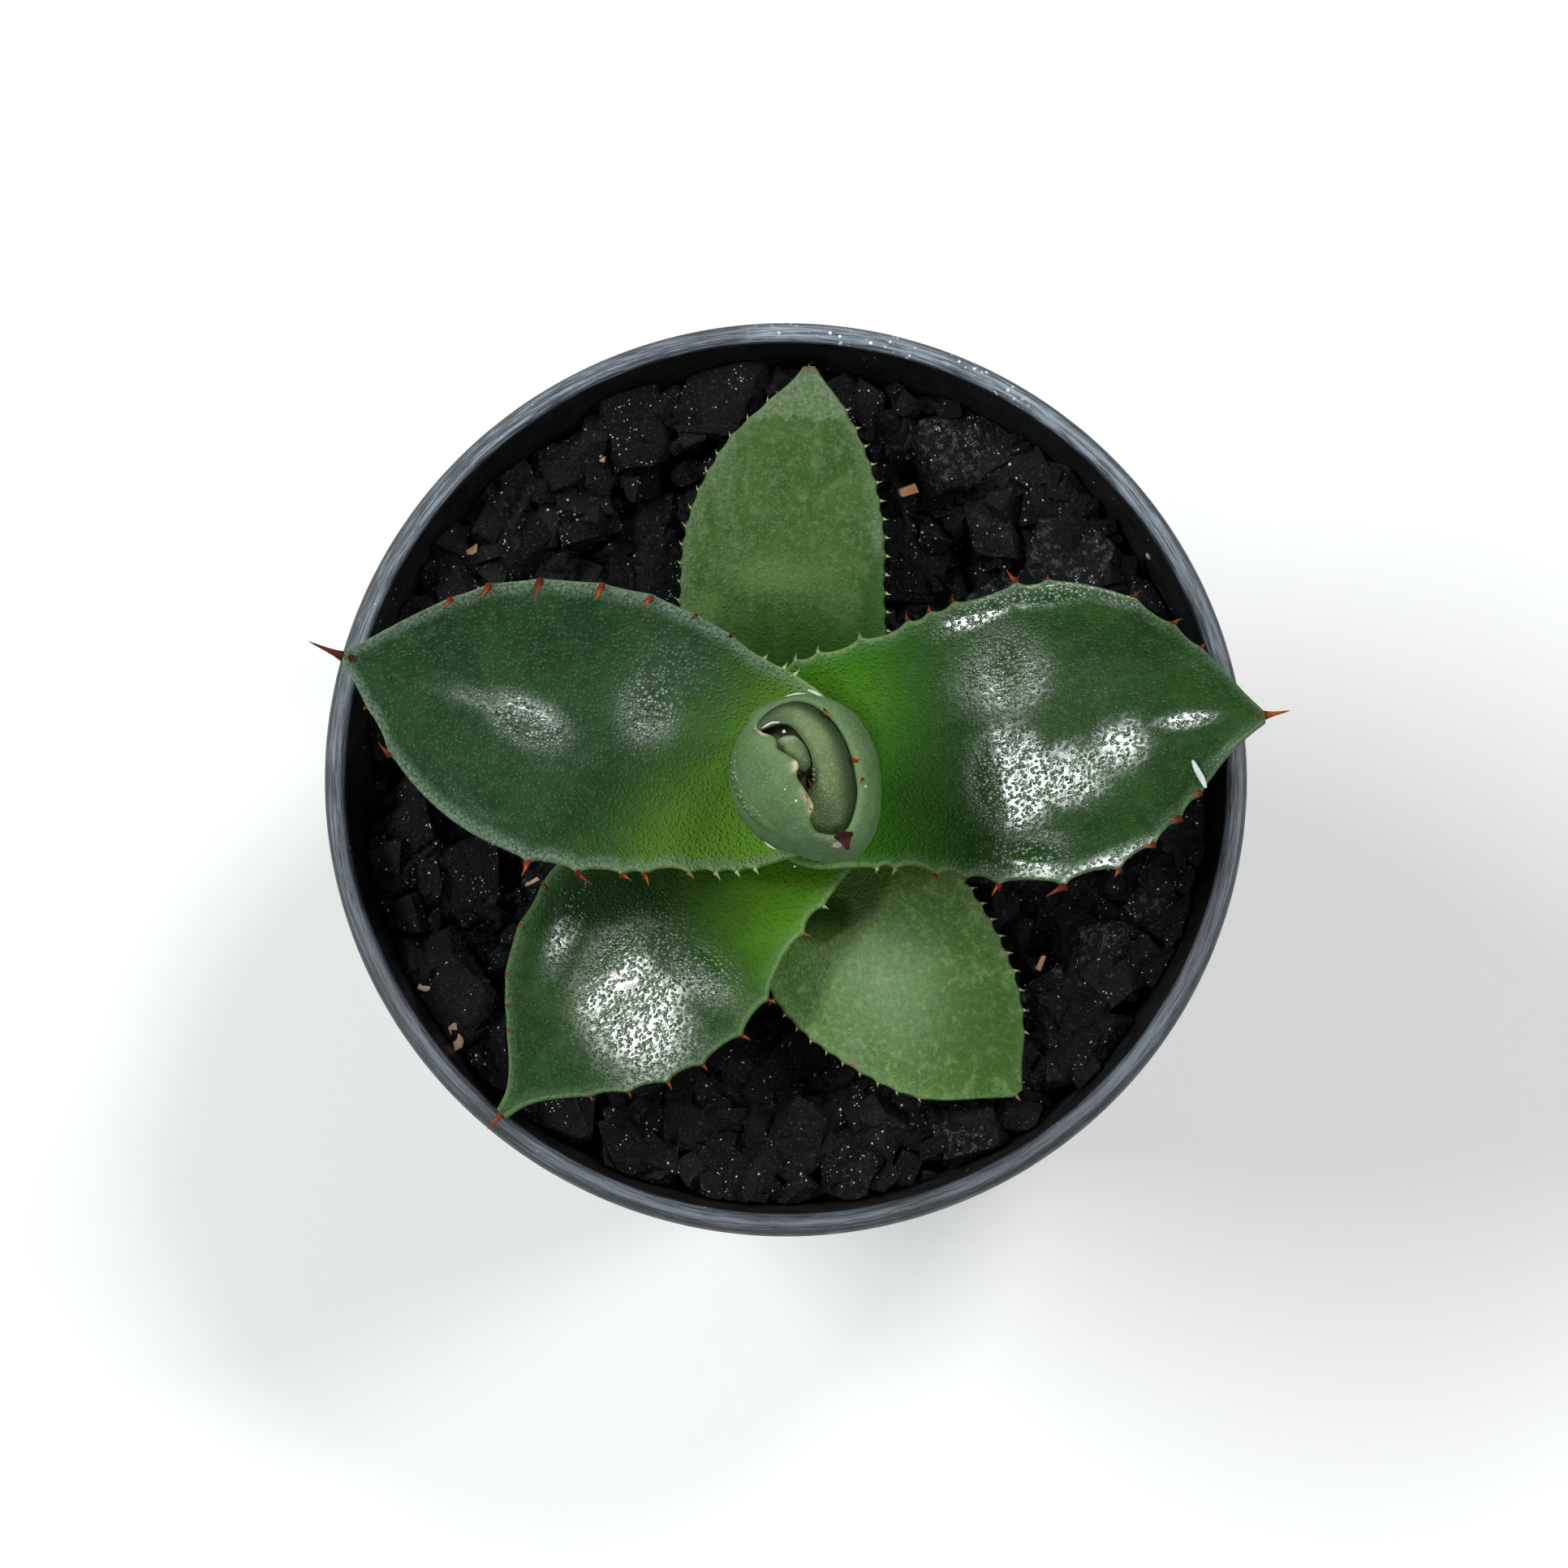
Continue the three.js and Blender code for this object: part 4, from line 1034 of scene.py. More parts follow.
def along(rows, position, column=1):
    """Smooth curve through [position, value, ...] rows at many positions at once"""
    table = np.array(rows, float)
    place = np.asarray(position, float)
    last = len(table) - 1
    k = np.clip(np.searchsorted(table[1:, 0], place), 0, last - 1)
    a, b = table[k], table[k + 1]
    before, after = table[np.maximum(k - 1, 0)], table[np.minimum(k + 2, last)]
    span = b[..., 0] - a[..., 0]
    t = np.clip((place - a[..., 0]) / span, 0, 1)
    slope_a = (b[..., column] - before[..., column]) / (b[..., 0] - before[..., 0]) * span
    slope_b = (after[..., column] - a[..., column]) / (after[..., 0] - a[..., 0]) * span
    return (
        (2 * t**3 - 3 * t**2 + 1) * a[..., column] + (t**3 - 2 * t**2 + t) * slope_a
        + (3 * t**2 - 2 * t**3) * b[..., column] + (t**3 - t**2) * slope_b
    )


def smoothstep(value, start, end):
    t = np.clip((value - start) / (end - start), 0, 1)
    return t * t * (3 - 2 * t)


def margin_shift(u, teeth, depth, swell):
    """How far a margin draws in between its teeth, and swells out under each of them"""
    places = np.sort([row[0] for row in teeth])
    k = np.clip(np.searchsorted(places, u) - 1, 0, len(places) - 2)
    gap = places[k + 1] - places[k]
    share = np.clip((u - places[k]) / gap, 0, 1)
    shift = -depth * np.minimum(gap / 4, 1) * np.sin(np.pi * share)
    for place, length, *_ in teeth:
        shift = shift + swell * length * np.exp(-(((u - place) / 0.55) ** 2))
    return shift


def fold_height(u, w, folds):
    """Height of the folds, each a ridge or a groove along its own line of places"""
    total = np.zeros_like(u)
    for height, width, path in folds:
        nearest = np.full_like(u, 1e9)
        for (u0, w0), (u1, w1) in zip(path, path[1:]):
            length = (u1 - u0) ** 2 + (w1 - w0) ** 2
            t = np.clip(((u - u0) * (u1 - u0) + (w - w0) * (w1 - w0)) / length, 0, 1)
            nearest = np.minimum(nearest, np.hypot(u - u0 - t * (u1 - u0), w - w0 - t * (w1 - w0)))
        total += height * np.exp(-((nearest / width) ** 2))
    return total


def patch_share(u, w, patches):
    """The strength of a patch in its middle, falling to 0 a little past its edge"""
    best = np.zeros_like(u)
    for cu, cw, reach_u, reach_w, strength, turn in patches:
        c, s = math.cos(math.radians(turn)), math.sin(math.radians(turn))
        ahead = ((u - cu) * c + (w - cw) * s) / reach_u
        aside = ((w - cw) * c - (u - cu) * s) / reach_w
        best = np.maximum(best, strength * np.exp(-(ahead**2) - aside**2))
    return best


class Blade:
    """One leaf's faces as functions of u and v, and its places in the pot's frame"""

    def __init__(self, leaf):
        self.leaf = leaf
        self.start = leaf["outline"][0][0]
        self.tip = leaf["outline"][-1][0]
        self.turn = math.radians(leaf["azimuth"])

    def place(self, u, w, z):
        c, s = math.cos(self.turn), math.sin(self.turn)
        return np.stack([STEM_X + u * c - w * s, STEM_Y + u * s + w * c, POT_HEIGHT + z], -1)

    def half(self, u, side):
        """Half width on one side, with that margin's waves faded out at the tip"""
        name, column = ("teeth_left", 0) if side > 0 else ("teeth_right", 1)
        scallop, swell = self.leaf["scallop"][column], self.leaf["swell"][column]
        wave = margin_shift(u, self.leaf[name], scallop, swell)
        return along(self.leaf["outline"], u, 2) + wave * smoothstep(u, self.tip - 1, self.tip - 5)

    def face(self, u, v, inset=0.0):
        """w and z of the upper face; inset keeps the face that far from the margins"""
        half = np.where(v > 0, self.half(u, 1), self.half(u, -1))
        w = along(self.leaf["outline"], u) + v * np.maximum(half - inset, 0.1)
        fold = 2 - 0.7 * smoothstep(u, self.tip - TIP_LENGTH, self.tip)
        across = np.abs(v) * np.maximum(half - inset, 0.1) / along(self.leaf["outline"], u, 2)
        z = along(self.leaf["rise"], u) + along(self.leaf["cup"], u) * across**fold
        return w, z + fold_height(u, w, self.leaf["relief"]) * smoothstep(u, 0, 10)

    def depth(self, u, v):
        return LEAF_EDGE + (along(self.leaf["thickness"], u) - LEAF_EDGE) * (1 - v * v)


def leaf_loops(blade):
    """Rings of points round the blade, one a station, with u, w, v and depth share of each"""
    share = np.linspace(0, 1, LEAF_STATIONS + 1)
    u = (blade.start + (blade.tip - blade.start) * (share + CROWDING * share * (1 - share)))[:, None]
    v = np.sin(np.linspace(-1, 1, LEAF_COLUMNS + 1) * math.pi / 2)[None, :]
    u_grid = u + 0 * v
    v_grid = v + 0 * u
    w, top = blade.face(u_grid, v_grid, EDGE_ROLL)
    bottom = top - blade.depth(u_grid, v_grid)
    roll_w, roll_z = {}, {}
    for side, column in ((1, -1), (-1, 0)):
        middle = (top[:, column] + bottom[:, column]) / 2
        half_depth = (top[:, column] - bottom[:, column]) / 2
        angles = np.linspace(90, -90, ROLL_STEPS + 2)[1:-1] * math.pi / 180
        roll_w[side] = w[:, column][:, None] + side * EDGE_ROLL * np.cos(angles)[None, :]
        roll_z[side] = middle[:, None] + half_depth[:, None] * np.sin(angles)[None, :]
    loop_w = np.hstack([w, roll_w[1], w[:, ::-1], roll_w[-1][:, ::-1]])
    loop_z = np.hstack([top, roll_z[1], bottom[:, ::-1], roll_z[-1][:, ::-1]])
    ones = np.ones((len(share), ROLL_STEPS))
    loop_v = np.hstack([v_grid, ones, v_grid[:, ::-1], -ones])
    under = np.hstack([0 * w, 0.5 * ones, 0 * w + 1, 0.5 * ones])
    return u + 0 * loop_w, loop_w, loop_z, loop_v, under


def leaf_end(first, count):
    """Squares that close a ring between its upper and its lower run"""
    upper = list(range(LEAF_COLUMNS + 1))
    lower = [LEAF_COLUMNS + ROLL_STEPS + 1 + k for k in range(LEAF_COLUMNS + 1)][::-1]
    faces = [
        (first + upper[j], first + upper[j + 1], first + lower[j + 1], first + lower[j])
        for j in range(LEAF_COLUMNS)
    ]
    left = [LEAF_COLUMNS + k for k in range(ROLL_STEPS + 2)]
    right = [(2 * LEAF_COLUMNS + ROLL_STEPS + 1 + k) % count for k in range(ROLL_STEPS + 2)]
    for rim in (left, right):
        faces.append([first + k for k in rim])
    return faces


def leaf_object(leaf, material):
    blade = Blade(leaf)
    u, w, z, v, under = leaf_loops(blade)
    rows, count = u.shape
    faces = ring_faces(rows, count) + leaf_end(0, count) + leaf_end((rows - 1) * count, count)
    thing = make_object(leaf["name"] + "_blade", blade.place(u, w, z).reshape(-1, 3), faces, material)
    tidy_mesh(thing)
    half = np.where(v > 0, blade.half(u, 1), blade.half(u, -1))
    store(thing, "blade", "FLOAT_VECTOR", np.stack([u, w, under], -1) * MM)
    store(thing, "margin", "FLOAT", np.maximum(half * (1 - np.abs(v)), 0))
    store(thing, "under", "FLOAT", under)
    store(thing, "shine", "FLOAT", patch_share(u, w, leaf["shine"]))
    return thing


# [place along a tooth, radius, lift of the hook] for a tooth one unit long
TOOTH_ROWS = [
    (-0.12, 0.95, 0), (-0.02, 1.0, 0), (0.12, 0.74, 0.02), (0.3, 0.48, 0.1), (0.5, 0.31, 0.28),
    (0.7, 0.2, 0.56), (0.87, 0.11, 0.9), (0.97, 0.04, 1.15),
]
TOOTH_END = (1.0, 0, 1.24)
TOOTH_SIDES = 9
TOOTH_WIDTH = 0.34
TOOTH_DEPTH = 0.24


def tooth_object():
    """A hooked point one unit long and wide, root at the origin, leaning from +X towards +Z"""
    points, share = [], []
    for x, r, lift in TOOTH_ROWS:
        for a in turns(TOOTH_SIDES):
            points.append((x, r * math.cos(a), lift + r * math.sin(a)))
            share.append(max(x, 0))
    faces = ring_faces(len(TOOTH_ROWS), TOOTH_SIDES)
    faces.append(range(TOOTH_SIDES)[::-1])
    points.append(TOOTH_END)
    share.append(1)
    last = (len(TOOTH_ROWS) - 1) * TOOTH_SIDES
    faces += [(last + j, last + (j + 1) % TOOTH_SIDES, len(points) - 1) for j in range(TOOTH_SIDES)]
    thing = make_object("tooth_shape", np.array(points) / MM, faces)
    tidy_mesh(thing)
    thing.data.shade_smooth()
    store(thing, "toward_tip", "FLOAT", share)
    bpy.context.scene.collection.objects.unlink(thing)
    return thing


def horn_finish():
    """Horny teeth and spines: dark red at the root, orange in the light, pale at the tip"""
    finish = Finish("red_horn", 0.6)
    share = finish.attribute("toward_tip")
    tone = finish.attribute("tone")
    young = finish.attribute("young")
    mottle = finish.noise(0.28, detail=3)
    root = finish.mix(tone, (0.02, 0.004, 0.003), (0.15, 0.022, 0.004))
    middle = finish.mix(tone, (0.05, 0.008, 0.005), (0.4, 0.08, 0.011))
    color = finish.mix(finish.ramp(share, 0.05, 0.45), root, middle)
    color = finish.mix(finish.ramp(share, 0.85, 1, 0, 0.4), color, (0.4, 0.2, 0.12))
    color = finish.mix(finish.ramp(mottle, 0.5, 0.7, 0, 0.6), color, (0.02, 0.005, 0.004))
    color = finish.mix(young, color, (0.3, 0.38, 0.17))
    finish.skin["Specular IOR Level"].default_value = 0.08
    return finish.paint(color, None, finish.bump(mottle, 0.12))


def seat(point, heading, hook, scale, tone, young=0.0):
    """Where one tooth sits: its place, the turn that aims it, its size and its colour"""
    x_axis = Vector(heading).normalized()
    z_axis = (Vector(hook) - Vector(hook).dot(x_axis) * x_axis).normalized()
    turn = Matrix((x_axis, z_axis.cross(x_axis), z_axis)).transposed().to_euler("XYZ")
    return point, tuple(turn), scale, tone, young


def margin_seat(blade, side, u, length, lean, rng):
    """Seat of one tooth on a margin, leaning outwards and forwards by these shares"""
    outward, forward = lean
    at = np.array([u - 0.6, u, u + 0.6])
    w, z = blade.face(at, np.full(3, float(side)), 0.75 * max(-outward, 0))
    sunk = LEAF_EDGE / 2 if outward > 0 else 0.05
    root, ahead = blade.place(at, w, z - sunk)[1], blade.place(at, w, z)
    front = Vector(ahead[2] - ahead[0]).normalized()
    out = front.cross(Vector((0, 0, 1))).normalized() * (-side)
    up = out.cross(front).normalized() * side
    up = up if up.z > 0 else -up
    o = outward + rng.uniform(-0.08, 0.08)
    f = forward + rng.uniform(-0.12, 0.12)
    heading = out * o + front * f + up * math.sqrt(max(1 - o * o - f * f, 0.03))
    young = max(blade.leaf["pale_teeth"], float(np.clip(1.9 - u / 6, 0, 1)))
    size = length * rng.uniform(0.92, 1.08)
    scale = (size * 1.05, TOOTH_WIDTH * size**0.6, TOOTH_DEPTH * size**0.6)
    return seat(root, heading, front + up * 0.5, scale, rng.uniform(0.2, 1), young)


def spine_seat(blade):
    """Seat of the spine that ends a leaf"""
    spine = blade.leaf["spine"]
    w, z = blade.face(np.array([blade.tip - 0.6]), np.zeros(1))
    middle = z - LEAF_EDGE / 2
    root = blade.place(np.array([blade.tip - 0.3]), w, middle)[0]
    reach = np.array([blade.tip + spine["length"]])
    end = blade.place(reach, w + spine["swing"], middle + spine["rise"] * 0.7)[0]
    heading = Vector(end - root)
    scale = (heading.length * 0.98, spine["radius"], spine["radius"] * 0.9)
    return seat(root, heading, (0, 0, 1), scale, spine.get("tone", 0.45), spine.get("pale", 0))


def leaf_seats(leaf, rng):
    """Seats of the teeth on both margins and of the spine at the tip"""
    blade = Blade(leaf)
    seats = []
    for side, name, lean in ((1, "teeth_left", "lean_left"), (-1, "teeth_right", "lean_right")):
        for u, length, *own_lean in leaf[name]:
            seats.append(margin_seat(blade, side, u, length, own_lean or leaf[lean], rng))
    return [*seats, spine_seat(blade)]


def tooth_tree():
    """Sets a tooth on every seat and joins them to the leaf"""
    tree = NodeTree("toothed margin", {
        "Leaf": "Geometry", "Seats": "Object", "Tooth": "Object", "Finish": "Material",
    }, "Toothed")
    given = tree.given
    seats, tooth_shape = (
        tree.step("GeometryNodeObjectInfo", {"Object": given[name]}) for name in ("Seats", "Tooth")
    )
    turn, size = (
        tree.step("GeometryNodeInputNamedAttribute", {"Name": name}, data_type="FLOAT_VECTOR")
        for name in ("turn", "size")
    )
    aim = tree.step("FunctionNodeEulerToRotation", {0: turn[0]})
    copies = tree.step("GeometryNodeInstanceOnPoints", {
        "Points": seats["Geometry"], "Instance": tooth_shape["Geometry"],
        "Rotation": aim[0], "Scale": size[0],
    })
    teeth = tree.made(copies[0], given["Finish"])
    return tree.ended(tree.step("GeometryNodeJoinGeometry", {0: [given["Leaf"], teeth]})[0])


def seat_object(name, seats):
    """The seats as a mesh of loose points that the tree reads"""
    thing = make_object(name, [s[0] for s in seats], [])
    store(thing, "turn", "FLOAT_VECTOR", [s[1] for s in seats])
    store(thing, "size", "FLOAT_VECTOR", np.array([s[2] for s in seats]) * MM)
    store(thing, "tone", "FLOAT", [s[3] for s in seats])
    store(thing, "young", "FLOAT", [s[4] for s in seats])
    bpy.context.scene.collection.objects.unlink(thing)
    return thing


PAPILLA = 0.36
PAPILLA_RELIEF = 0.1
# Painted highlight: colour of the pale dots on the papillae where the wet skin shines
PAINTED_HIGHLIGHT_DOTS = (0.5, 0.58, 0.53)
BACK_WAX = (0.14, 0.185, 0.115)
TOOTH_SEED = 23
# Colours of each skin: deep and fresh green, pale wax, young base, edge line, frosted margin partly painted
# as edge light, and back. Then where the young base ends, how strong each pattern is, the painted highlight
# dots among them, and how rough dry and wet are.
LEAF_LOOKS = {
    "leaf_left": {
        "deep": (0.007, 0.03, 0.007), "fresh": (0.0135, 0.047, 0.012), "pale": (0.068, 0.122, 0.06),
        "young": (0.1, 0.24, 0.016), "edge": (0.19, 0.28, 0.1), "frost": (0.16, 0.22, 0.17),
        "back": (0.05, 0.095, 0.05), "young_from": 1, "young_to": 20, "young_slant": -0.4, "youth": 0.9,
        "grain": 0.56, "mottle": 0.2, "fade": 0.75, "line": 0.12,
        "dry": 0.8, "wet": 0.2, "painted_glints": 0.85, "drizzle": 0.0,
    },
    "leaf_right": {
        "deep": (0.0048, 0.026, 0.0019), "fresh": (0.0105, 0.041, 0.0037), "pale": (0.05, 0.104, 0.034),
        "young": (0.03, 0.15, 0.0004), "edge": (0.16, 0.25, 0.09), "frost": (0.12, 0.18, 0.12),
        "back": (0.05, 0.095, 0.045), "young_from": 0, "young_to": 19, "young_slant": 0, "youth": 0.95,
        "grain": 0.52, "mottle": 0.2, "fade": 0.35, "line": 0.2,
        "dry": 0.76, "wet": 0.17, "painted_glints": 0.5, "drizzle": 0.1,
    },
    "leaf_back": {
        "deep": (0.024, 0.061, 0.009), "fresh": (0.04, 0.085, 0.0175), "pale": (0.105, 0.168, 0.068),
        "young": (0.011, 0.048, 0.001), "edge": (0.09, 0.15, 0.05), "frost": (0.13, 0.18, 0.11),
        "back": (0.065, 0.115, 0.055), "young_from": 13, "young_to": 28, "young_slant": 0.2, "youth": 0.9,
        "grain": 0.56, "mottle": 0.5, "fade": 0.35, "line": 0.2,
        "dry": 0.85, "wet": 0.35, "painted_glints": 0.3, "drizzle": 0.0,
    },
    "leaf_front_left": {
        "deep": (0.0048, 0.026, 0.0019), "fresh": (0.0105, 0.041, 0.0037), "pale": (0.05, 0.102, 0.036),
        "young": (0.076, 0.21, 0.005), "edge": (0.15, 0.25, 0.08), "frost": (0.12, 0.18, 0.12),
        "back": (0.05, 0.095, 0.045), "young_from": 4, "young_to": 22, "young_slant": -0.3, "youth": 0.95,
        "grain": 0.52, "mottle": 0.22, "fade": 0.3, "line": 0.25,
        "dry": 0.76, "wet": 0.18, "painted_glints": 0.4, "drizzle": 0.08,
    },
    "leaf_front_right": {
        "deep": (0.039, 0.092, 0.015), "fresh": (0.051, 0.113, 0.0185), "pale": (0.142, 0.228, 0.083),
        "young": (0.07, 0.16, 0.014), "edge": (0.12, 0.19, 0.07), "frost": (0.16, 0.23, 0.12),
        "back": (0.07, 0.12, 0.055), "young_from": 4, "young_to": 18, "young_slant": 0, "youth": 0.9,
        "grain": 0.6, "mottle": 0.8, "fade": 0.3, "line": 0.15,
        "dry": 0.85, "wet": 0.4, "painted_glints": 0.3, "drizzle": 0.0,
    },
}
# [place in u and w, reach, raggedness, blur, strength, colour] of what marks a leaf: a corner that stayed
# yellow-green, painted shade on the side that a neighbour shades, a wet margin with a pale blush above the
# base, and a painted sheen with soaked, darker patches and an old scar
LEAF_MARKS = {
    "leaf_right": [((2.5, 9.5), (6, 4), 0.5, 0.7, 0.45, (0.07, 0.16, 0.006))],
    # Painted shade on the side that the left leaf overhangs
    "leaf_front_left": [((24, -8.5), (11, 4.5), 0.5, 0.7, 0.55, (0.003, 0.02, 0.001))],
    "leaf_back": [
        ((21, -8.6), (8, 2.6), 0.6, 0.2, 0.7, (0.014, 0.05, 0.003)),
        ((24.8, 3), (1.9, 4.6), 1.2, 0.6, 0.45, (0.11, 0.17, 0.05)),
        ((21.5, 11), (1.6, 1.8), 1.2, 0.6, 0.4, (0.11, 0.17, 0.05)),
    ],
    "leaf_front_right": [
        # Painted sheen: a broad pale cloud where the flat skin catches the lamps
        ((20.5, -4.2), (8, 5.4), 1.6, 0.8, 0.5, (0.15, 0.22, 0.12)),
        ((11.2, -5.2), (2.3, 3), 0.3, 0.2, 0.85, (0.016, 0.052, 0.004)),
        ((33, 2), (7, 7), 0.8, 0.7, 0.65, (0.02, 0.056, 0.006)),
        ((25.7, -12.4), (0.8, 0.45), 0.5, 0.2, 0.8, (0.16, 0.12, 0.07)),
    ],
}


class LeafSkin(Finish):
    """Finish of one leaf, with the patterns that its colours, its marks and its wet film share"""

    def __init__(self, leaf):
        super().__init__(leaf["name"] + "_skin")
        self.look = LEAF_LOOKS[leaf["name"]]
        self.blade = self.attribute("blade", "Vector")
        self.u, self.w, _ = self.parts(self.blade)
        self.shine = self.attribute("shine")
        self.clouds = self.noise(8, self.blade, 4, 0.55)
        self.blotches = self.noise(1.8, self.blade, 4, 0.6)
        self.fine = self.noise(0.36, self.blade, 2, 0.7)
        self.ribs = self.noise(0.55, self.stretched(self.blade, (0.07, 1, 1)), 3, 0.5)
        grid = self.stretched(self.blade, (0.85, 1, 0))
        self.domes = self.ramp(self.cells(PAPILLA, grid), 0.1, 0.55, 1, 0)
        self.lot, self.other_lot, _ = self.parts(self.cells(PAPILLA, grid, output="Color"))

    def tint(self, color, share, strength, other):
        """Mixes another colour in where the share is 1"""
        return self.mix(self.times(share, strength), color, other)

    def patch(self, centre, reach, raggedness, blur):
        """1 inside an uneven oval round a place on the blade, in u and w, and 0 outside it"""
        du = self.scaled(self.u, 1 / (reach[0] * MM), -centre[0] / reach[0])
        dw = self.scaled(self.w, 1 / (reach[1] * MM), -centre[1] / reach[1])
        off = self.step("ShaderNodeCombineXYZ", [du, dw, 0.0]).outputs[0]
        ragged = self.scaled(self.blotches, 2 * raggedness, -raggedness)
        specks = self.noise(0.5, self.blade, 2, 0.7)
        away = self.math("ADD", self.vector("LENGTH", off), ragged)
        away = self.math("ADD", away, self.scaled(specks, 3 * blur, -1.5 * blur))
        return self.ramp(away, 1 + blur, 1 - blur)

    def greens(self):
        """Clouded green, with pale wax on its papillae that is partly painted glint, and painted highlight
        dots where the skin shines
        """
        look = self.look
        color = self.mix(self.ramp(self.clouds, 0.35, 0.68), look["deep"], look["fresh"])
        color = self.mix(self.ramp(self.blotches, 0.45, 0.75, 0, look["mottle"]), color, look["pale"])
        flecks = self.noise(0.7, self.blade, 2, 0.6)
        color = self.mix(self.ramp(flecks, 0.5, 0.75, 0, look["mottle"]), color, look["pale"])
        color = self.mix(self.ramp(flecks, 0.5, 0.3, 0, look["mottle"]), color, look["deep"])
        # Pale wax dots on the papillae, partly real wax and partly painted glints
        wax_and_painted_glints = self.ramp(self.other_lot, 0.1, 1, 0.55 * look["grain"], 1.15 * look["grain"])
        color = self.mix(self.times(self.domes, wax_and_painted_glints), color, look["pale"])
        # Painted highlight: pale dots on the papillae where the shine patches lie
        painted_glints = self.times(self.domes, self.ramp(self.lot, 0.15, 0.75))
        painted_glints = self.times(painted_glints, self.ramp(self.shine, 0.2, 1.2, 0, look["painted_glints"]))
        color = self.mix(painted_glints, color, PAINTED_HIGHLIGHT_DOTS)
        return self.mix(self.ramp(self.ribs, 0.55, 0.8, 0, 0.2), color, look["deep"])

    def grown(self, color):
        """Yellow-green at the young base, frosted and lined along the margins, with painted edge light in the
        frost, waxy underneath
        """
        look = self.look
        margin = self.attribute("margin")
        reach = self.math("ADD", self.u, self.scaled(self.clouds, 8 * MM, -4 * MM))
        reach = self.scaled(self.w, look["young_slant"], reach)
        young = self.ramp(reach, look["young_from"] * MM, look["young_to"] * MM, 1, 0)
        color = self.tint(color, young, look["youth"], look["young"])
        # Pale frost along the margins, partly painted edge light where the rounded margin catches the lamps
        frayed = self.math("ADD", margin, self.scaled(self.blotches, 0.5, -0.25))
        frost_and_edge_light = self.times(self.ramp(self.fine, 0.38, 0.62, 0.25, 1), look["fade"])
        color = self.mix(self.times(self.ramp(frayed, 0.3, 1.8, 1, 0), frost_and_edge_light), color, look["frost"])
        lined = self.times(self.ramp(margin, 0.12, 0.42, 1, 0), self.scaled(young, 0.45, look["line"]))
        color = self.mix(lined, color, look["edge"])
        return self.mix(self.ramp(self.attribute("under"), 0.6, 0.9, 0, 0.75), color, look["back"])

    def wetted(self, color):
        """Water lies unevenly over the papillae, smooths them and makes them shine"""
        look = self.look
        ruffled = self.noise(0.8, self.stretched(self.blade, (0.7, 1, 1)), 3, 0.6)
        uneven = self.scaled(ruffled, 0.3, self.scaled(self.lot, -0.18, -0.26))
        uneven = self.scaled(self.fine, 0.42, uneven)
        share = self.math("ADD", self.math("MAXIMUM", self.shine, look["drizzle"]), uneven)
        film = self.ramp(share, -0.04, 1.08)
        glitter = self.times(self.domes, self.ramp(self.other_lot, 0.7, 0.8, 0, -0.36))
        rough = self.math("ADD", self.blend(film, look["dry"], look["wet"]), glitter)
        relief = self.bump(self.ribs, 0.025)
        relief = self.bump(self.clouds, 0.1, relief)
        relief = self.bump(self.times(ruffled, self.scaled(film, 0.85, 0.15)), 0.05, relief)
        relief = self.bump(self.domes, PAPILLA_RELIEF, relief)
        self.feed(self.skin["Specular IOR Level"], self.ramp(film, 0.12, 0.9, 0.16, 0.76))
        let_light_in(self, 0.04, 1.5)
        return self.paint(color, self.math("MAXIMUM", rough, 0.16), relief)


def let_light_in(finish, weight, depth):
    """Light sinks a little way into living tissue and comes back green"""
    finish.skin["Subsurface Weight"].default_value = weight
    finish.skin["Subsurface Radius"].default_value = (0.5, 1.0, 0.25)
    finish.skin["Subsurface Scale"].default_value = depth * MM


def waxed_tip(skin, color):
    """The back leaf keeps its wax at the tip, as far as an uneven line, and its point is brown"""
    frayed = skin.scaled(skin.noise(2.6, skin.blade, 4, 0.65), 7 * MM, skin.u)
    frost = skin.ramp(frayed, 45.2 * MM, 45.8 * MM)
    rubbed = skin.ramp(skin.noise(0.55, skin.blade, 3, 0.7), 0.4, 0.62, 0.25, 1)
    color = skin.tint(color, skin.times(frost, rubbed), 0.75, BACK_WAX)
    left_wax = skin.patch((37.5, 9.3), (7, 1.3), 0.8, 0.2)
    color = skin.tint(color, skin.times(left_wax, rubbed), 0.35, BACK_WAX)
    return skin.tint(color, skin.ramp(skin.u, 46.7 * MM, 47.7 * MM), 0.7, (0.1, 0.05, 0.025))


def leaf_finish(leaf):
    skin = LeafSkin(leaf)
    color = skin.grown(skin.greens())
    if leaf["name"] == "leaf_back":
        color = waxed_tip(skin, color)
    for centre, reach, raggedness, blur, strength, other in LEAF_MARKS.get(leaf["name"], []):
        color = skin.tint(color, skin.patch(centre, reach, raggedness, blur), strength, other)
    return skin.wetted(color)


tooth = tooth_object()
horn = horn_finish()
margin_tree = tooth_tree()
tooth_rng = np.random.default_rng(TOOTH_SEED)
for leaf in LEAVES:
    piece = leaf_object(leaf, leaf_finish(leaf))
    seats = seat_object(leaf["name"] + "_seats", leaf_seats(leaf, tooth_rng))
    run_tree(piece, margin_tree, Seats=seats, Tooth=tooth, Finish=horn)
    smooth(piece, 70)
    settle(piece, leaf["slot"], leaf["name"])


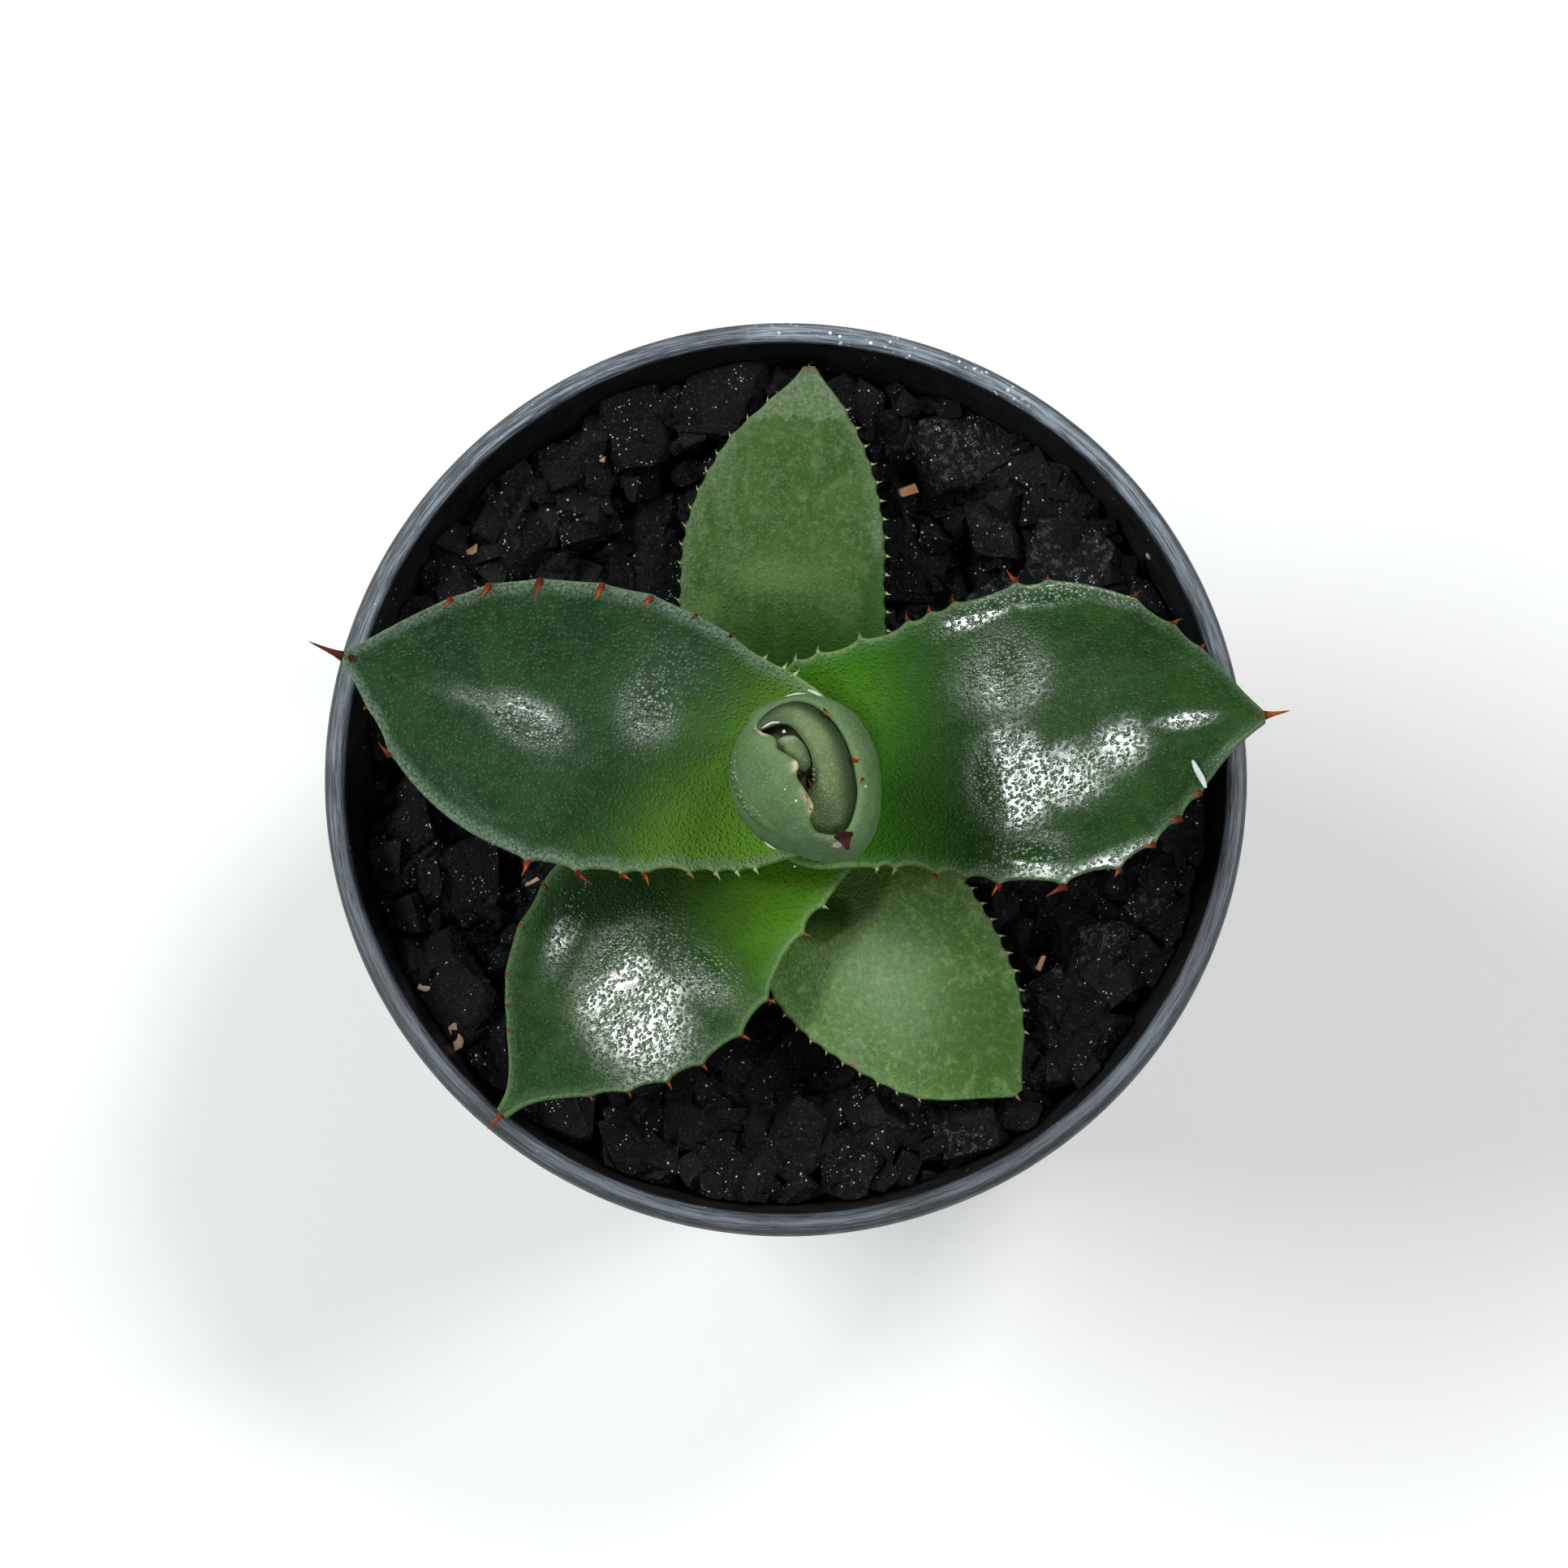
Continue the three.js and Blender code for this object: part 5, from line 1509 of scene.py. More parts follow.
# Bud
# The youngest leaves, still rolled up over the stem. The outer one wraps the others, with its two
# margins meeting down its back, its horny spine at the front and its grey-green wax unworn.
BUD_BASE = stem_top + CLEARANCE
BUD_COLUMNS = 260
BUD_AZIMUTHS = np.arange(BUD_COLUMNS) / BUD_COLUMNS * 360
WALL_RINGS = 64
ARCH_RINGS = 34
LIP_RINGS = 7
LINING_RINGS = 18
THROAT_RINGS = 8
BEAK_AZIMUTH = 300
BEAK_SPREAD = 34
BEAK_REACH = 0.38
SHOULDER = 19.5
BUD_WALL = 1.1
BUD_FLOOR = 12.2
LIP = 0.34
# [height over the base, radius]
BUD_PROFILE = [
    [0, 4.6], [1.5, 5.6], [4, 6.7], [8, 7.4], [12, 7.7], [16, 7.7], [19.5, 7.3], [22.5, 6.5], [25, 5.3],
    [27, 3.6], [28.2, 1.8],
]
# [azimuth of the wall below, x, y, height] round the mouth's edge, from the stem's axis
BUD_MOUTH = [
    [5, 5, 0.4, 25.2], [27, 4.2, 2.4, 25.2], [50, 3.1, 4.1, 25.1], [70, 1.7, 5.4, 24.7], [86, 0.3, 6.2, 24.1],
    [102, -1.3, 6.4, 23.3], [116, -2.8, 5.9, 22.6], [131, -4.1, 4.9, 22.3], [146, -5.1, 3.4, 23.6],
    [156, -4.4, 2.3, 26.2], [166, -3.3, 1.7, 27.2], [178, -3, 0.6, 27.5], [194, -1.9, -0.2, 27.7],
    [212, -1, -0.9, 27.8], [226, -1.1, -2.2, 27.8], [240, -0.3, -3.6, 27.5], [252, 0.5, -5, 27],
    [260, 0.2, -6, 26.5], [268, 0.45, -7, 26], [277, 1.2, -7.7, 25.3], [291, 3.1, -7.9, 24.8],
    [303, 4.4, -7.3, 24.6], [318, 5.2, -5.6, 24.6], [333, 5.6, -3.5, 24.8], [348, 5.4, -1.5, 25],
]
SEAM_TOP = 142
SEAM_FOOT = 126
SEAM_HEIGHT = 24
SEAM_STEP = 0.5
SEAM_SPREAD = 30
# First height, end and spacing of the small teeth up the seam
SEAM_TEETH = (5, 13, 1.9)
IMPRINT_HEIGHT = 20.3
IMPRINT_RELIEF = 0.35
IMPRINT_WIDTH = 1.1
GROOVE_RISE = 1.9
GROOVE_DEPTH = 0.8
GROOVE_WIDTH = 0.5
# Azimuths between which the imprint comes in, and its relief and its colour go out
IMPRINT_START = (158, 172)
RELIEF_END = (250, 228)
COLOR_END = (244, 228)
# [x, y, height] of the next leaf's left margin, crest and right side, as far as the mouth shows
INNER_LEFT = [
    [-4.8, 2.9, 24], [-3.6, 3.3, 24.8], [-2.4, 3.6, 25.2], [-1.4, 3.3, 25.4], [-0.4, 2.2, 25.5],
    [0.5, 0.6, 25.4], [0.75, -1.3, 25.1], [0.65, -2.4, 24.8], [-0.1, -3.4, 24.5], [-0.8, -4.6, 24.1],
    [-0.5, -5.8, 23.7], [0.2, -6.9, 23.1], [1.6, -7.5, 22.4],
]
INNER_CREST = [
    [-4.9, 3.3, 23.4], [-3.7, 4.1, 23.9], [-2.1, 4.7, 24.3], [-0.6, 4.5, 24.9], [0.8, 3.2, 25.5],
    [2, 0.9, 25.8], [2.5, -1.4, 25.6], [2.7, -3.4, 25.1], [2.7, -5.2, 24.2], [2.7, -6.6, 23.2],
    [3, -7.4, 22.4],
]
INNER_RIGHT = [
    [-5.2, 3.7, 22.4], [-4.3, 5.1, 21.4], [-2.9, 6.2, 21.6], [-0.9, 6.6, 22.4], [1.2, 6.1, 23.2],
    [3.1, 4.7, 23.7], [4.7, 2.6, 23.95], [5.5, 0.2, 23.95], [5.9, -2.6, 23.75], [5.8, -4.8, 23.4],
    [4.9, -7, 22.8],
]
INNER_FOOT = 13.5
INNER_RINGS = 90
LEFT_STEPS = 14
RIGHT_STEPS = 18
# The heart leaf's outline as the mouth shows it
HEART_OUTLINE = [
    [-3, 0.9], [-2.9, 1.7], [-2.2, 2.25], [-1, 2.3], [0, 1.4], [0.5, 0.1], [0.5, -0.8], [-0.3, -1.3],
    [-1.4, -0.6], [-2.4, 0.1],
]
# What lies under the heart leaf, down in the mouth
THROAT_OUTLINE = [
    [-5, 1.6], [-5.1, 3.1], [-3.6, 3.9], [-1.6, 3.9], [0.2, 2.6], [1.2, 0.4], [1.2, -2], [0.4, -4],
    [-1, -4.2], [-2.4, -2.6], [-3.6, -0.4],
]
THROAT_TOP = 22.7
THROAT_RISE = 0.7
OUTLINE_POINTS = 60
HEART_TOP = 25.3
HEART_RISE = 1.1
# [x, y, height, heading, length, half width, tone, green] of the bud's horny teeth
BUD_TEETH = [
    (2.1, 4.7, 25.1, (0.8, -0.55, 0.15), 1.2, 0.2, 0.95, 0.1),
    (2, 5, 25.1, (-0.3, 0.7, 0.3), 0.4, 0.16, 0.1, 0),
    (5.2, -0.2, 25, (-0.6, 0.5, 0.2), 1, 0.28, 0.45, 0),
    (4.9, -0.1, 25, (0.8, 0.1, 0.3), 0.8, 0.26, 0.8, 0),
    (5.75, -2, 24.8, (-0.2, -0.7, 0.3), 0.7, 0.27, 0.35, 0),
    (0.1, -4, 27.2, (0.3, -0.9, 0), 1.3, 0.24, 0.95, 0.2),
    (0.5, -5.2, 26.8, (0.6, -0.7, 0), 0.8, 0.18, 0.8, 0.1),
    (-0.9, -1.5, 27.6, (0.7, -0.65, 0), 0.7, 0.22, 0.1, 0),
    (0.6, -2.7, 24.9, (-0.35, 0.9, 0.3), 0.9, 0.22, 0.6, 0),
    (0.95, -1.1, 25.2, (-0.9, 0.3, 0.3), 0.4, 0.14, 0, 0.8),
    (0.95, -1.6, 25.1, (-0.9, 0.3, 0.3), 0.4, 0.14, 0, 0.8),
    (0.95, -2.1, 25, (-0.9, 0.3, 0.3), 0.4, 0.14, 0, 0.8),
]
# The spine that ends the outer leaf is two-lobed at its root, and has chafed the skin beside it
BUD_SPINE = [
    (3.6, -7.75, 24.7, (0.42, -1, 0.1), 1.9, 0.72, 0, 0),
    (4.2, -7.65, 24.7, (0.12, -1, 0.1), 1.85, 0.7, 0, 0),
]
# [first, last azimuth] of the lengths of the mouth's edge that have gone dry and cream
WORN_EDGES = [(140, 160), (207, 220), (237, 257)]
BUD_TONES = {
    "outer": {
        "deep": (0.062, 0.122, 0.045), "fresh": (0.083, 0.157, 0.052), "pale": (0.145, 0.22, 0.115),
        "young": (0.07, 0.14, 0.02), "painted_shade": (0.035, 0.07, 0.02), "rim": (0.11, 0.165, 0.065),
    },
    "inner": {
        "deep": (0.08, 0.12, 0.045), "fresh": (0.11, 0.16, 0.062), "pale": (0.17, 0.22, 0.11),
        "young": (0.08, 0.13, 0.03), "painted_shade": (0.018, 0.036, 0.011), "rim": (0.17, 0.23, 0.1),
    },
    "heart": {
        "deep": (0.06, 0.1, 0.036), "fresh": (0.085, 0.135, 0.05), "pale": (0.15, 0.2, 0.1),
        "young": (0.08, 0.13, 0.03), "painted_shade": (0.06, 0.075, 0.03), "rim": (0.3, 0.34, 0.24),
    },
}
SPINE_SCAR = ((STEM_X + 3.3) * MM, (STEM_Y - 8.8) * MM, (BUD_BASE + 24.2) * MM)


def bud_place(points):
    """Places from the stem's axis and heights over the bud's base, in the pot's frame"""
    return np.asarray(points, float) + (STEM_X, STEM_Y, BUD_BASE)


def bud_radius(height, azimuth):
    spread = np.exp(-((apart(azimuth, BEAK_AZIMUTH) / BEAK_SPREAD) ** 2))
    return along(BUD_PROFILE, height) * (1 + BEAK_REACH * smoothstep(height, 4, 20) * spread)


def seam_azimuth(height):
    """Where the outer leaf's two margins meet at a height"""
    return SEAM_FOOT + (SEAM_TOP - SEAM_FOOT) * height / SEAM_HEIGHT


def bud_relief(height, azimuth):
    """The overlapped margin down the back and the ridge that the last leaf's margin pressed"""
    past = apart(azimuth, seam_azimuth(height))
    step = SEAM_STEP * np.exp(-((past / SEAM_SPREAD) ** 2)) * smoothstep(past, 1.4, -0.6)
    over = height - IMPRINT_HEIGHT
    ridge = IMPRINT_RELIEF * np.exp(-((over / IMPRINT_WIDTH) ** 2))
    ridge = ridge - GROOVE_DEPTH * np.exp(-(((over - GROOVE_RISE) / GROOVE_WIDTH) ** 2))
    window = smoothstep(azimuth, *IMPRINT_START) * smoothstep(azimuth, *RELIEF_END)
    swell = 0.06 * np.sin(np.radians(azimuth * 3 + height * 14))
    return step * smoothstep(height, 2, 7) + ridge * window + swell


def mouth_edge(azimuths):
    """x, y and height of the mouth's edge over each azimuth of the wall"""
    rows = np.array(BUD_MOUTH, float)
    before, after = rows.copy(), rows.copy()
    before[:, 0] -= 360
    after[:, 0] += 360
    table = np.vstack([before, rows, after])
    return [along(table, azimuths, column) for column in (1, 2, 3)]


def outer_bud_rings():
    azimuths = BUD_AZIMUTHS
    turn = np.radians(azimuths)
    east, north = np.cos(turn), np.sin(turn)
    edge_x, edge_y, edge_h = mouth_edge(azimuths)
    rings, inside_share, rim_share = [], [], []

    def add(x, y, height, inside, rim):
        rings.append(np.stack([x, y, height + 0 * x], -1))
        inside_share.append(inside + 0 * x)
        rim_share.append(rim + 0 * x)

    def arched(r, t):
        """x and y on the way from the wall at radius r in to the mouth's edge"""
        turned_in = 1 - math.cos(t * math.pi / 2)
        return r * east + (edge_x - r * east) * turned_in, r * north + (edge_y - r * north) * turned_in

    for height, inset in ((0, 0.5), (0.15, 0.12)):
        r = bud_radius(height, azimuths) - inset
        add(r * east, r * north, height, 0, 0)
    for height in np.linspace(0.4, SHOULDER, WALL_RINGS):
        r = bud_radius(height, azimuths) + bud_relief(height, azimuths)
        add(r * east, r * north, height, 0, 0)
    shoulder = bud_radius(SHOULDER, azimuths)
    for t in np.linspace(0, 1, ARCH_RINGS)[1:]:
        height = SHOULDER + (edge_h - SHOULDER) * math.sin(t * math.pi / 2)
        r = shoulder + bud_relief(np.minimum(height, 24), azimuths) * (1 - t) ** 2
        add(*arched(r, t), height, 0, t**6)
    ahead_x = np.roll(edge_x, -1) - np.roll(edge_x, 1)
    ahead_y = np.roll(edge_y, -1) - np.roll(edge_y, 1)
    length = np.hypot(ahead_x, ahead_y)
    into_x, into_y = -ahead_y / length, ahead_x / length
    for angle in np.linspace(90, -90, LIP_RINGS)[1:-1] * math.pi / 180:
        reach = LIP * math.cos(angle)
        height = edge_h - LIP + LIP * math.sin(angle)
        add(edge_x + into_x * reach, edge_y + into_y * reach, height, 0.2, 1)
    inner = shoulder - BUD_WALL
    for t in np.linspace(1, 0, LINING_RINGS):
        height = SHOULDER + (edge_h - 2 * LIP - SHOULDER) * math.sin(t * math.pi / 2) - 0.3 * (1 - t)
        add(*arched(inner, t), height, 1, 0)
    for height in np.linspace(SHOULDER - 1, BUD_FLOOR, THROAT_RINGS):
        r = bud_radius(height, azimuths) - BUD_WALL - 0.1
        add(r * east, r * north, height, 1, 0)
    add(2 * east, 2 * north, BUD_FLOOR - 0.2, 1, 0)
    return np.array(rings), np.array(inside_share), np.array(rim_share)


def bud_body(name, rings, low_tip, high_tip, material):
    """Closed body whose rings and tips are given from the stem's axis and the bud's base"""
    return capped(name, bud_place(rings), bud_place(low_tip), bud_place(high_tip), material)


def bud_finish(leaf):
    """Waxy grey-green skin, with painted shade where the roll hides it and painted glints on the beads along
    its imprint
    """
    tones = BUD_TONES[leaf]
    finish = Finish(leaf + "_bud_skin")
    _, _, z = finish.parts(finish.place)
    clouds = finish.noise(5, detail=3)
    blotches = finish.noise(1.2, detail=4)
    dots = finish.ramp(finish.cells(0.36), 0.12, 0.5, 1, 0)
    ribs = finish.noise(0.7, finish.stretched(finish.place, (1, 1, 0.07)), 3)
    inside = finish.attribute("inside")
    rim = finish.attribute("rim")
    color = finish.mix(finish.ramp(clouds, 0.36, 0.64), tones["deep"], tones["fresh"])
    color = finish.mix(finish.times(dots, 0.75), color, tones["pale"])
    color = finish.mix(finish.ramp(blotches, 0.5, 0.72, 0, 0.3), color, tones["pale"])
    low = finish.ramp(z, (BUD_BASE + 1) * MM, (BUD_BASE + 14) * MM, 0.9, 0)
    color = finish.mix(low, color, tones["young"])
    imprint = finish.attribute("imprint")
    pits = finish.ramp(finish.cells(0.55), 0.5, 0.3)
    # Dark pits of the imprint, with painted shade along its groove
    pressed = finish.times(imprint, finish.scaled(pits, 0.4, 0.3))
    color = finish.mix(pressed, color, (0.03, 0.06, 0.02))
    # Painted glints on the water beads along the imprint
    painted_bead_glints = finish.times(finish.ramp(finish.cells(0.55), 0.3, 0.18), imprint)
    color = finish.mix(painted_bead_glints, color, (0.45, 0.52, 0.45))
    # Painted shade down inside the roll: the lining, the throat and the inner leaf's flanks
    color = finish.mix(inside, color, tones["painted_shade"])
    color = finish.mix(finish.times(rim, 0.5), color, tones["rim"])
    ragged = finish.times(finish.attribute("cream"), finish.ramp(blotches, 0.35, 0.6, 0.25, 1))
    color = finish.mix(ragged, color, (0.46, 0.42, 0.26))
    away = finish.vector("DISTANCE", finish.place, SPINE_SCAR)
    scar = finish.math("ADD", away, finish.scaled(blotches, 1.2 * MM, -0.6 * MM))
    color = finish.mix(finish.ramp(scar, 0.7 * MM, 0.4 * MM, 0, 0.8), color, (0.5, 0.48, 0.42))
    relief = finish.bump(ribs, 0.05)
    relief = finish.bump(blotches, 0.06, relief)
    relief = finish.bump(finish.times(imprint, pits), 0.12, relief)
    relief = finish.bump(dots, 0.045, relief)
    finish.skin["Specular IOR Level"].default_value = 0.22
    let_light_in(finish, 0.05, 1.2)
    rough = finish.ramp(imprint, 0.1, 0.9, 0.6, 0.2)
    return finish.paint(color, rough, relief)


def bud_seats():
    """Seats of the horny teeth, the spine, and the small teeth up the overlapped margin"""
    seats = []
    for x, y, height, heading, length, wide, tone, green in [*BUD_TEETH, *BUD_SPINE]:
        root = bud_place([x, y, height])
        seats.append(seat(root, heading, (0, 0, 1), (length, wide, wide * 0.75), tone, green))
    for height in np.arange(*SEAM_TEETH):
        azimuth = seam_azimuth(height) + 0.5
        east, north = math.cos(math.radians(azimuth)), math.sin(math.radians(azimuth))
        r = float(bud_radius(height, azimuth)) + SEAM_STEP * 0.6
        root = bud_place([r * east, r * north, height])
        heading = (-north * 0.75, east * 0.75, 0.6)
        seats.append(seat(root, heading, (east, north, 0), (0.8, 0.2, 0.16), 0.5, 0.35))
    return seats


def make_bud_outer():
    """Outer leaf with its values for each point; a body's two tips are its last points"""
    rings, inside, rim = outer_bud_rings()
    tips = (0, 0, 0), (0, 0, BUD_FLOOR - 0.2)
    thing = bud_body("bud_outer_leaf_rolled", rings, *tips, bud_finish("outer"))
    azimuths = BUD_AZIMUTHS
    window = smoothstep(azimuths, *IMPRINT_START) * smoothstep(azimuths, *COLOR_END)
    imprint = np.exp(-(((rings[..., 2] - IMPRINT_HEIGHT) / 1.3) ** 2)) * window * (1 - inside)
    worn = np.zeros(BUD_COLUMNS)
    for start, end in WORN_EDGES:
        worn += smoothstep(azimuths, start - 4, start + 4) * smoothstep(azimuths, end + 4, end - 4)
    for name, values, at_tips in (
        ("inside", inside, [0, 1]), ("rim", rim, [0, 0]),
        ("imprint", imprint, [0, 0]), ("cream", rim**5 * worn, [0, 0]),
    ):
        store(thing, name, "FLOAT", np.append(values.ravel(), at_tips))
    run_tree(thing, margin_tree, Seats=seat_object("bud_seats", bud_seats()), Tooth=tooth, Finish=horn)
    smooth(thing, 60)
    return thing


def resampled(path, count):
    """Points evenly spaced along a smooth curve through the path"""
    rows = np.array(path, float)
    steps = np.concatenate([[0], np.cumsum(np.linalg.norm(np.diff(rows, axis=0), axis=1))])
    table = np.column_stack([steps, rows])
    places = np.linspace(0, steps[-1], count)
    return np.stack([along(table, places, k + 1) for k in range(rows.shape[1])], -1)


def make_bud_inner():
    """Ridge that follows the roll: sharp left margin, rounded crest, steep right side"""
    left, crest, right = (
        resampled(path, INNER_RINGS) for path in (INNER_LEFT, INNER_CREST, INNER_RIGHT)
    )
    shape = []
    for t in np.linspace(0, 1, LEFT_STEPS):
        lift = math.sin(t * math.pi / 2)
        shape.append(left + (crest - left) * [t, t, lift])
    for t in np.linspace(0, 1, RIGHT_STEPS)[1:]:
        drop = 1 - math.cos(t * math.pi / 2)
        shape.append(crest + (right - crest) * [t, t, drop])
    for side, shares in ((right, (0.33, 0.66, 1)), (left, (1, 0.7, 0.4, 0.15, 0.03))):
        for share in shares:
            level = side.copy()
            level[:, 2] += (INNER_FOOT - side[:, 2]) * share
            shape.append(level)
    rings = np.array(shape).transpose(1, 0, 2)
    start, end = rings[0].mean(0), rings[-1].mean(0)
    thing = bud_body("bud_inner_leaf_rolled", rings, start, end, bud_finish("inner"))
    over_crest = [np.linspace(-1, 0, LEFT_STEPS), np.linspace(0, 1, RIGHT_STEPS)[1:]]
    across = np.concatenate([*over_crest, np.ones(rings.shape[1] - LEFT_STEPS - RIGHT_STEPS + 1)])
    # Painted shade on both flanks of the ridge as they fall away under the lips, and at its start
    painted_shade = smoothstep(across, 0.08, 0.62) + 0.6 * smoothstep(across, -0.45, -1)
    start_shade = 0.75 * smoothstep(np.linspace(0, 1, len(rings)), 0.3, 0.08)
    painted_shade = np.maximum(painted_shade[None, :], start_shade[:, None])
    store(thing, "inside", "FLOAT", np.append(painted_shade.ravel(), [1, 1]))
    store(thing, "rim", "FLOAT", np.zeros(rings.shape[0] * rings.shape[1] + 2))
    smooth(thing, 50)
    return thing


def domed(path, foot, top, rise, steps):
    """Rings of a closed outline, up from [height, share] rows and over a dome, with both tips"""
    outline = resampled([*path, path[0]], OUTLINE_POINTS + 1)[:-1]
    middle = outline.mean(0)
    rows = list(foot)
    for t in np.linspace(0, 1, steps)[:-1]:
        rows.append((top + rise * math.sin(t * math.pi / 2), math.cos(t * math.pi / 2)))
    rings = [
        np.column_stack([middle + (outline - middle) * share, np.full(OUTLINE_POINTS, height)])
        for height, share in rows
    ]
    return np.array(rings), (*middle, INNER_FOOT), (*middle, top + rise)


def make_bud_heart():
    """The heart leaf, and the tissue under it that closes the mouth, both painted in shade down in the mouth
    """
    material = bud_finish("heart")
    heart_foot = [(INNER_FOOT, 0.7), (18, 0.8), (22, 0.9), (24.4, 0.98)]
    rings, *tips = domed(HEART_OUTLINE, heart_foot, HEART_TOP, HEART_RISE, 14)
    thing = bud_body("bud_heart_leaf_rolled", rings, *tips, material)
    points = np.vstack([rings.reshape(-1, 3), tips])
    # Painted shade on the heart leaf's lower sides
    store(thing, "inside", "FLOAT", smoothstep(points[:, 2], 25, 23))
    store(thing, "rim", "FLOAT", smoothstep(points[:, 1] - points[:, 0] * 0.4, 1.9, 2.7))
    rings, *tips = domed(THROAT_OUTLINE, [(INNER_FOOT, 1)], THROAT_TOP, THROAT_RISE, 10)
    base = bud_body("bud_throat", rings, *tips, material)
    # Painted shade over the whole throat
    store(base, "inside", "FLOAT", np.ones(len(base.data.vertices)))
    store(base, "rim", "FLOAT", np.zeros(len(base.data.vertices)))
    join_meshes(thing, base)
    smooth(thing, 50)
    return thing


settle(make_bud_outer(), "bud_leaf", "bud_outer_leaf")
settle(make_bud_inner(), "bud_leaf", "bud_inner_leaf")
settle(make_bud_heart(), "bud_leaf", "bud_heart_leaf")


# Water
# Clear water from the last spraying. It lies in thin lines where the bud meets the leaves round
# it, in a few drops, and in one long bead that hangs from the right leaf's margin.
# [x, y, height over the rim] from the stem's axis along each line, with its half width
WATER_LINES = [
    ([(0.4, 10.7, 9.8), (1.2, 10.4, 9.7), (1.9, 9.9, 9.6), (2.6, 9.2, 9.4)], 0.18),
    ([(-2.4, 7.5, 23.4), (-1.4, 7.85, 23.9), (-0.3, 7.95, 24), (1.1, 7.6, 23.8)], 0.12),
    ([(-4.1, -6.6, 17.9), (-3.5, -7.05, 17.9), (-2.9, -7.35, 17.9)], 0.11),
    ([(-4.3, 2.9, 33.9), (-3.4, 3.4, 34), (-2.5, 3.5, 33.9)], 0.1),
    ([(-1.2, -1.7, 34.6), (-0.9, -2.3, 34.6), (-0.4, -3, 34.5)], 0.13),
]
# [x, y, height over the rim, radius] of single drops
WATER_DROPS = [
    (-1.2, 7.75, 24.1, 0.17), (-2.1, 2.6, 33.6, 0.17), (-7.25, 2, 25, 0.15), (-7.5, 0.4, 25, 0.13),
    (-1, -9.3, 19.2, 0.1), (6.1, -2.7, 31.8, 0.14), (-0.9, -4.6, 34.9, 0.13), (-2, -3.4, 34.6, 0.12),
]
SLIVER = [(40.1, -3.3, 0.9), (40.4, -4.4, 0.9), (40.7, -5.5, 0.6), (40.9, -6.5, 0.3)]
SLIVER_RADIUS = 0.34
STRAND_POINTS = 24
STRAND_SIDES = 12


def strand(path, radius):
    """Rings of a closed thread along a path, drawn out to a point at both ends"""
    places = resampled(path, STRAND_POINTS)
    ahead = np.gradient(places, axis=0)
    ahead /= np.linalg.norm(ahead, axis=1)[:, None]
    aside = np.cross(ahead, (0, 0, 1.0))
    aside /= np.linalg.norm(aside, axis=1)[:, None]
    above = np.cross(aside, ahead)
    girth = radius * np.sqrt(np.sin(np.linspace(0.04, 0.96, STRAND_POINTS) * math.pi))
    rings = [
        places + girth[:, None] * (math.cos(turn) * aside + 0.7 * math.sin(turn) * above)
        for turn in turns(STRAND_SIDES)
    ]
    return np.array(rings).transpose(1, 0, 2)


def water_body(name, rings, material):
    """Closed body through a strand's rings, whose places are in the pot's frame"""
    rows, count, _ = rings.shape
    faces = ring_faces(rows, count)
    faces.append(list(range(count)))
    faces.append([(rows - 1) * count + k for k in range(count)])
    thing = make_object(name, rings.reshape(-1, 3), faces, material)
    tidy_mesh(thing)
    thing.data.shade_smooth()
    return thing


def water_finish():
    finish = Finish("clear_water", 0.08)
    finish.skin["Transmission Weight"].default_value = 0.62
    finish.skin["IOR"].default_value = 1.33
    return finish.paint((0.96, 1, 0.98))


clear = water_finish()
stem_axis = np.array([STEM_X, STEM_Y, POT_HEIGHT])
threads = [(np.array(path) + stem_axis, radius) for path, radius in WATER_LINES]
for x, y, height, radius in WATER_DROPS:
    centre = stem_axis + (x, y, height)
    threads.append((centre + np.array([(-radius, 0, 0), (0, 0, 0), (radius, 0, 0)]), radius))
right_blade = Blade(LEAVES[1])
u, w, lift = np.array(SLIVER).T
v = (w - along(LEAVES[1]["outline"], u)) / right_blade.half(u, -1)
_, z = right_blade.face(u, np.maximum(v, -1))
threads.append((right_blade.place(u, w, z + lift), SLIVER_RADIUS))
water = [water_body(f"water_{k}", strand(path, radius), clear) for k, (path, radius) in enumerate(threads)]
water[0].name = "spilt_water"
join_meshes(*water)
settle(water[0], "wet_leaf")


# Litter
# Crumbs of bark and wood, and one grey bead of perlite, that came with the charcoal and lie on
# it. They are as light as the chips are dark.
# [x, y, height over the rim, length, width, turn, tone] of each crumb
CRUMBS = [
    (-39.1, -21.8, -6.3, 3.4, 1.5, 75, 0.9), (-37.6, -23.4, -6.8, 1.6, 0.8, 20, 0.6),
    (-35.9, -28, -6.3, 3.2, 1.2, 110, 0.7), (13.6, 32.3, -6.6, 2.3, 1.1, 20, 0.2),
    (-34.8, 25.5, -7, 2.2, 0.9, 30, 0.35), (27.7, -20.2, -7.2, 1.9, 0.7, 65, 0.3),
    (-27.7, -11.4, -6.2, 2, 0.5, 30, 0.8), (-20.6, 36, -6.8, 1.6, 0.8, 160, 0.2),
]
BEAD = (40.2, 24.8, -5.2, 0.62)
LITTER_SEED = 5


def litter_finish():
    finish = Finish("wood_crumb", 0.7)
    tone = finish.attribute("tone")
    grain = finish.attribute("grain", "Vector")
    fibres = finish.noise(0.3, finish.stretched(grain, (0.15, 1, 1)), 3)
    old = finish.mix(fibres, (0.16, 0.055, 0.018), (0.42, 0.17, 0.055))
    fresh = finish.mix(fibres, (0.3, 0.19, 0.1), (0.66, 0.52, 0.36))
    return finish.paint(finish.mix(tone, old, fresh), None, finish.bump(fibres, 0.12))


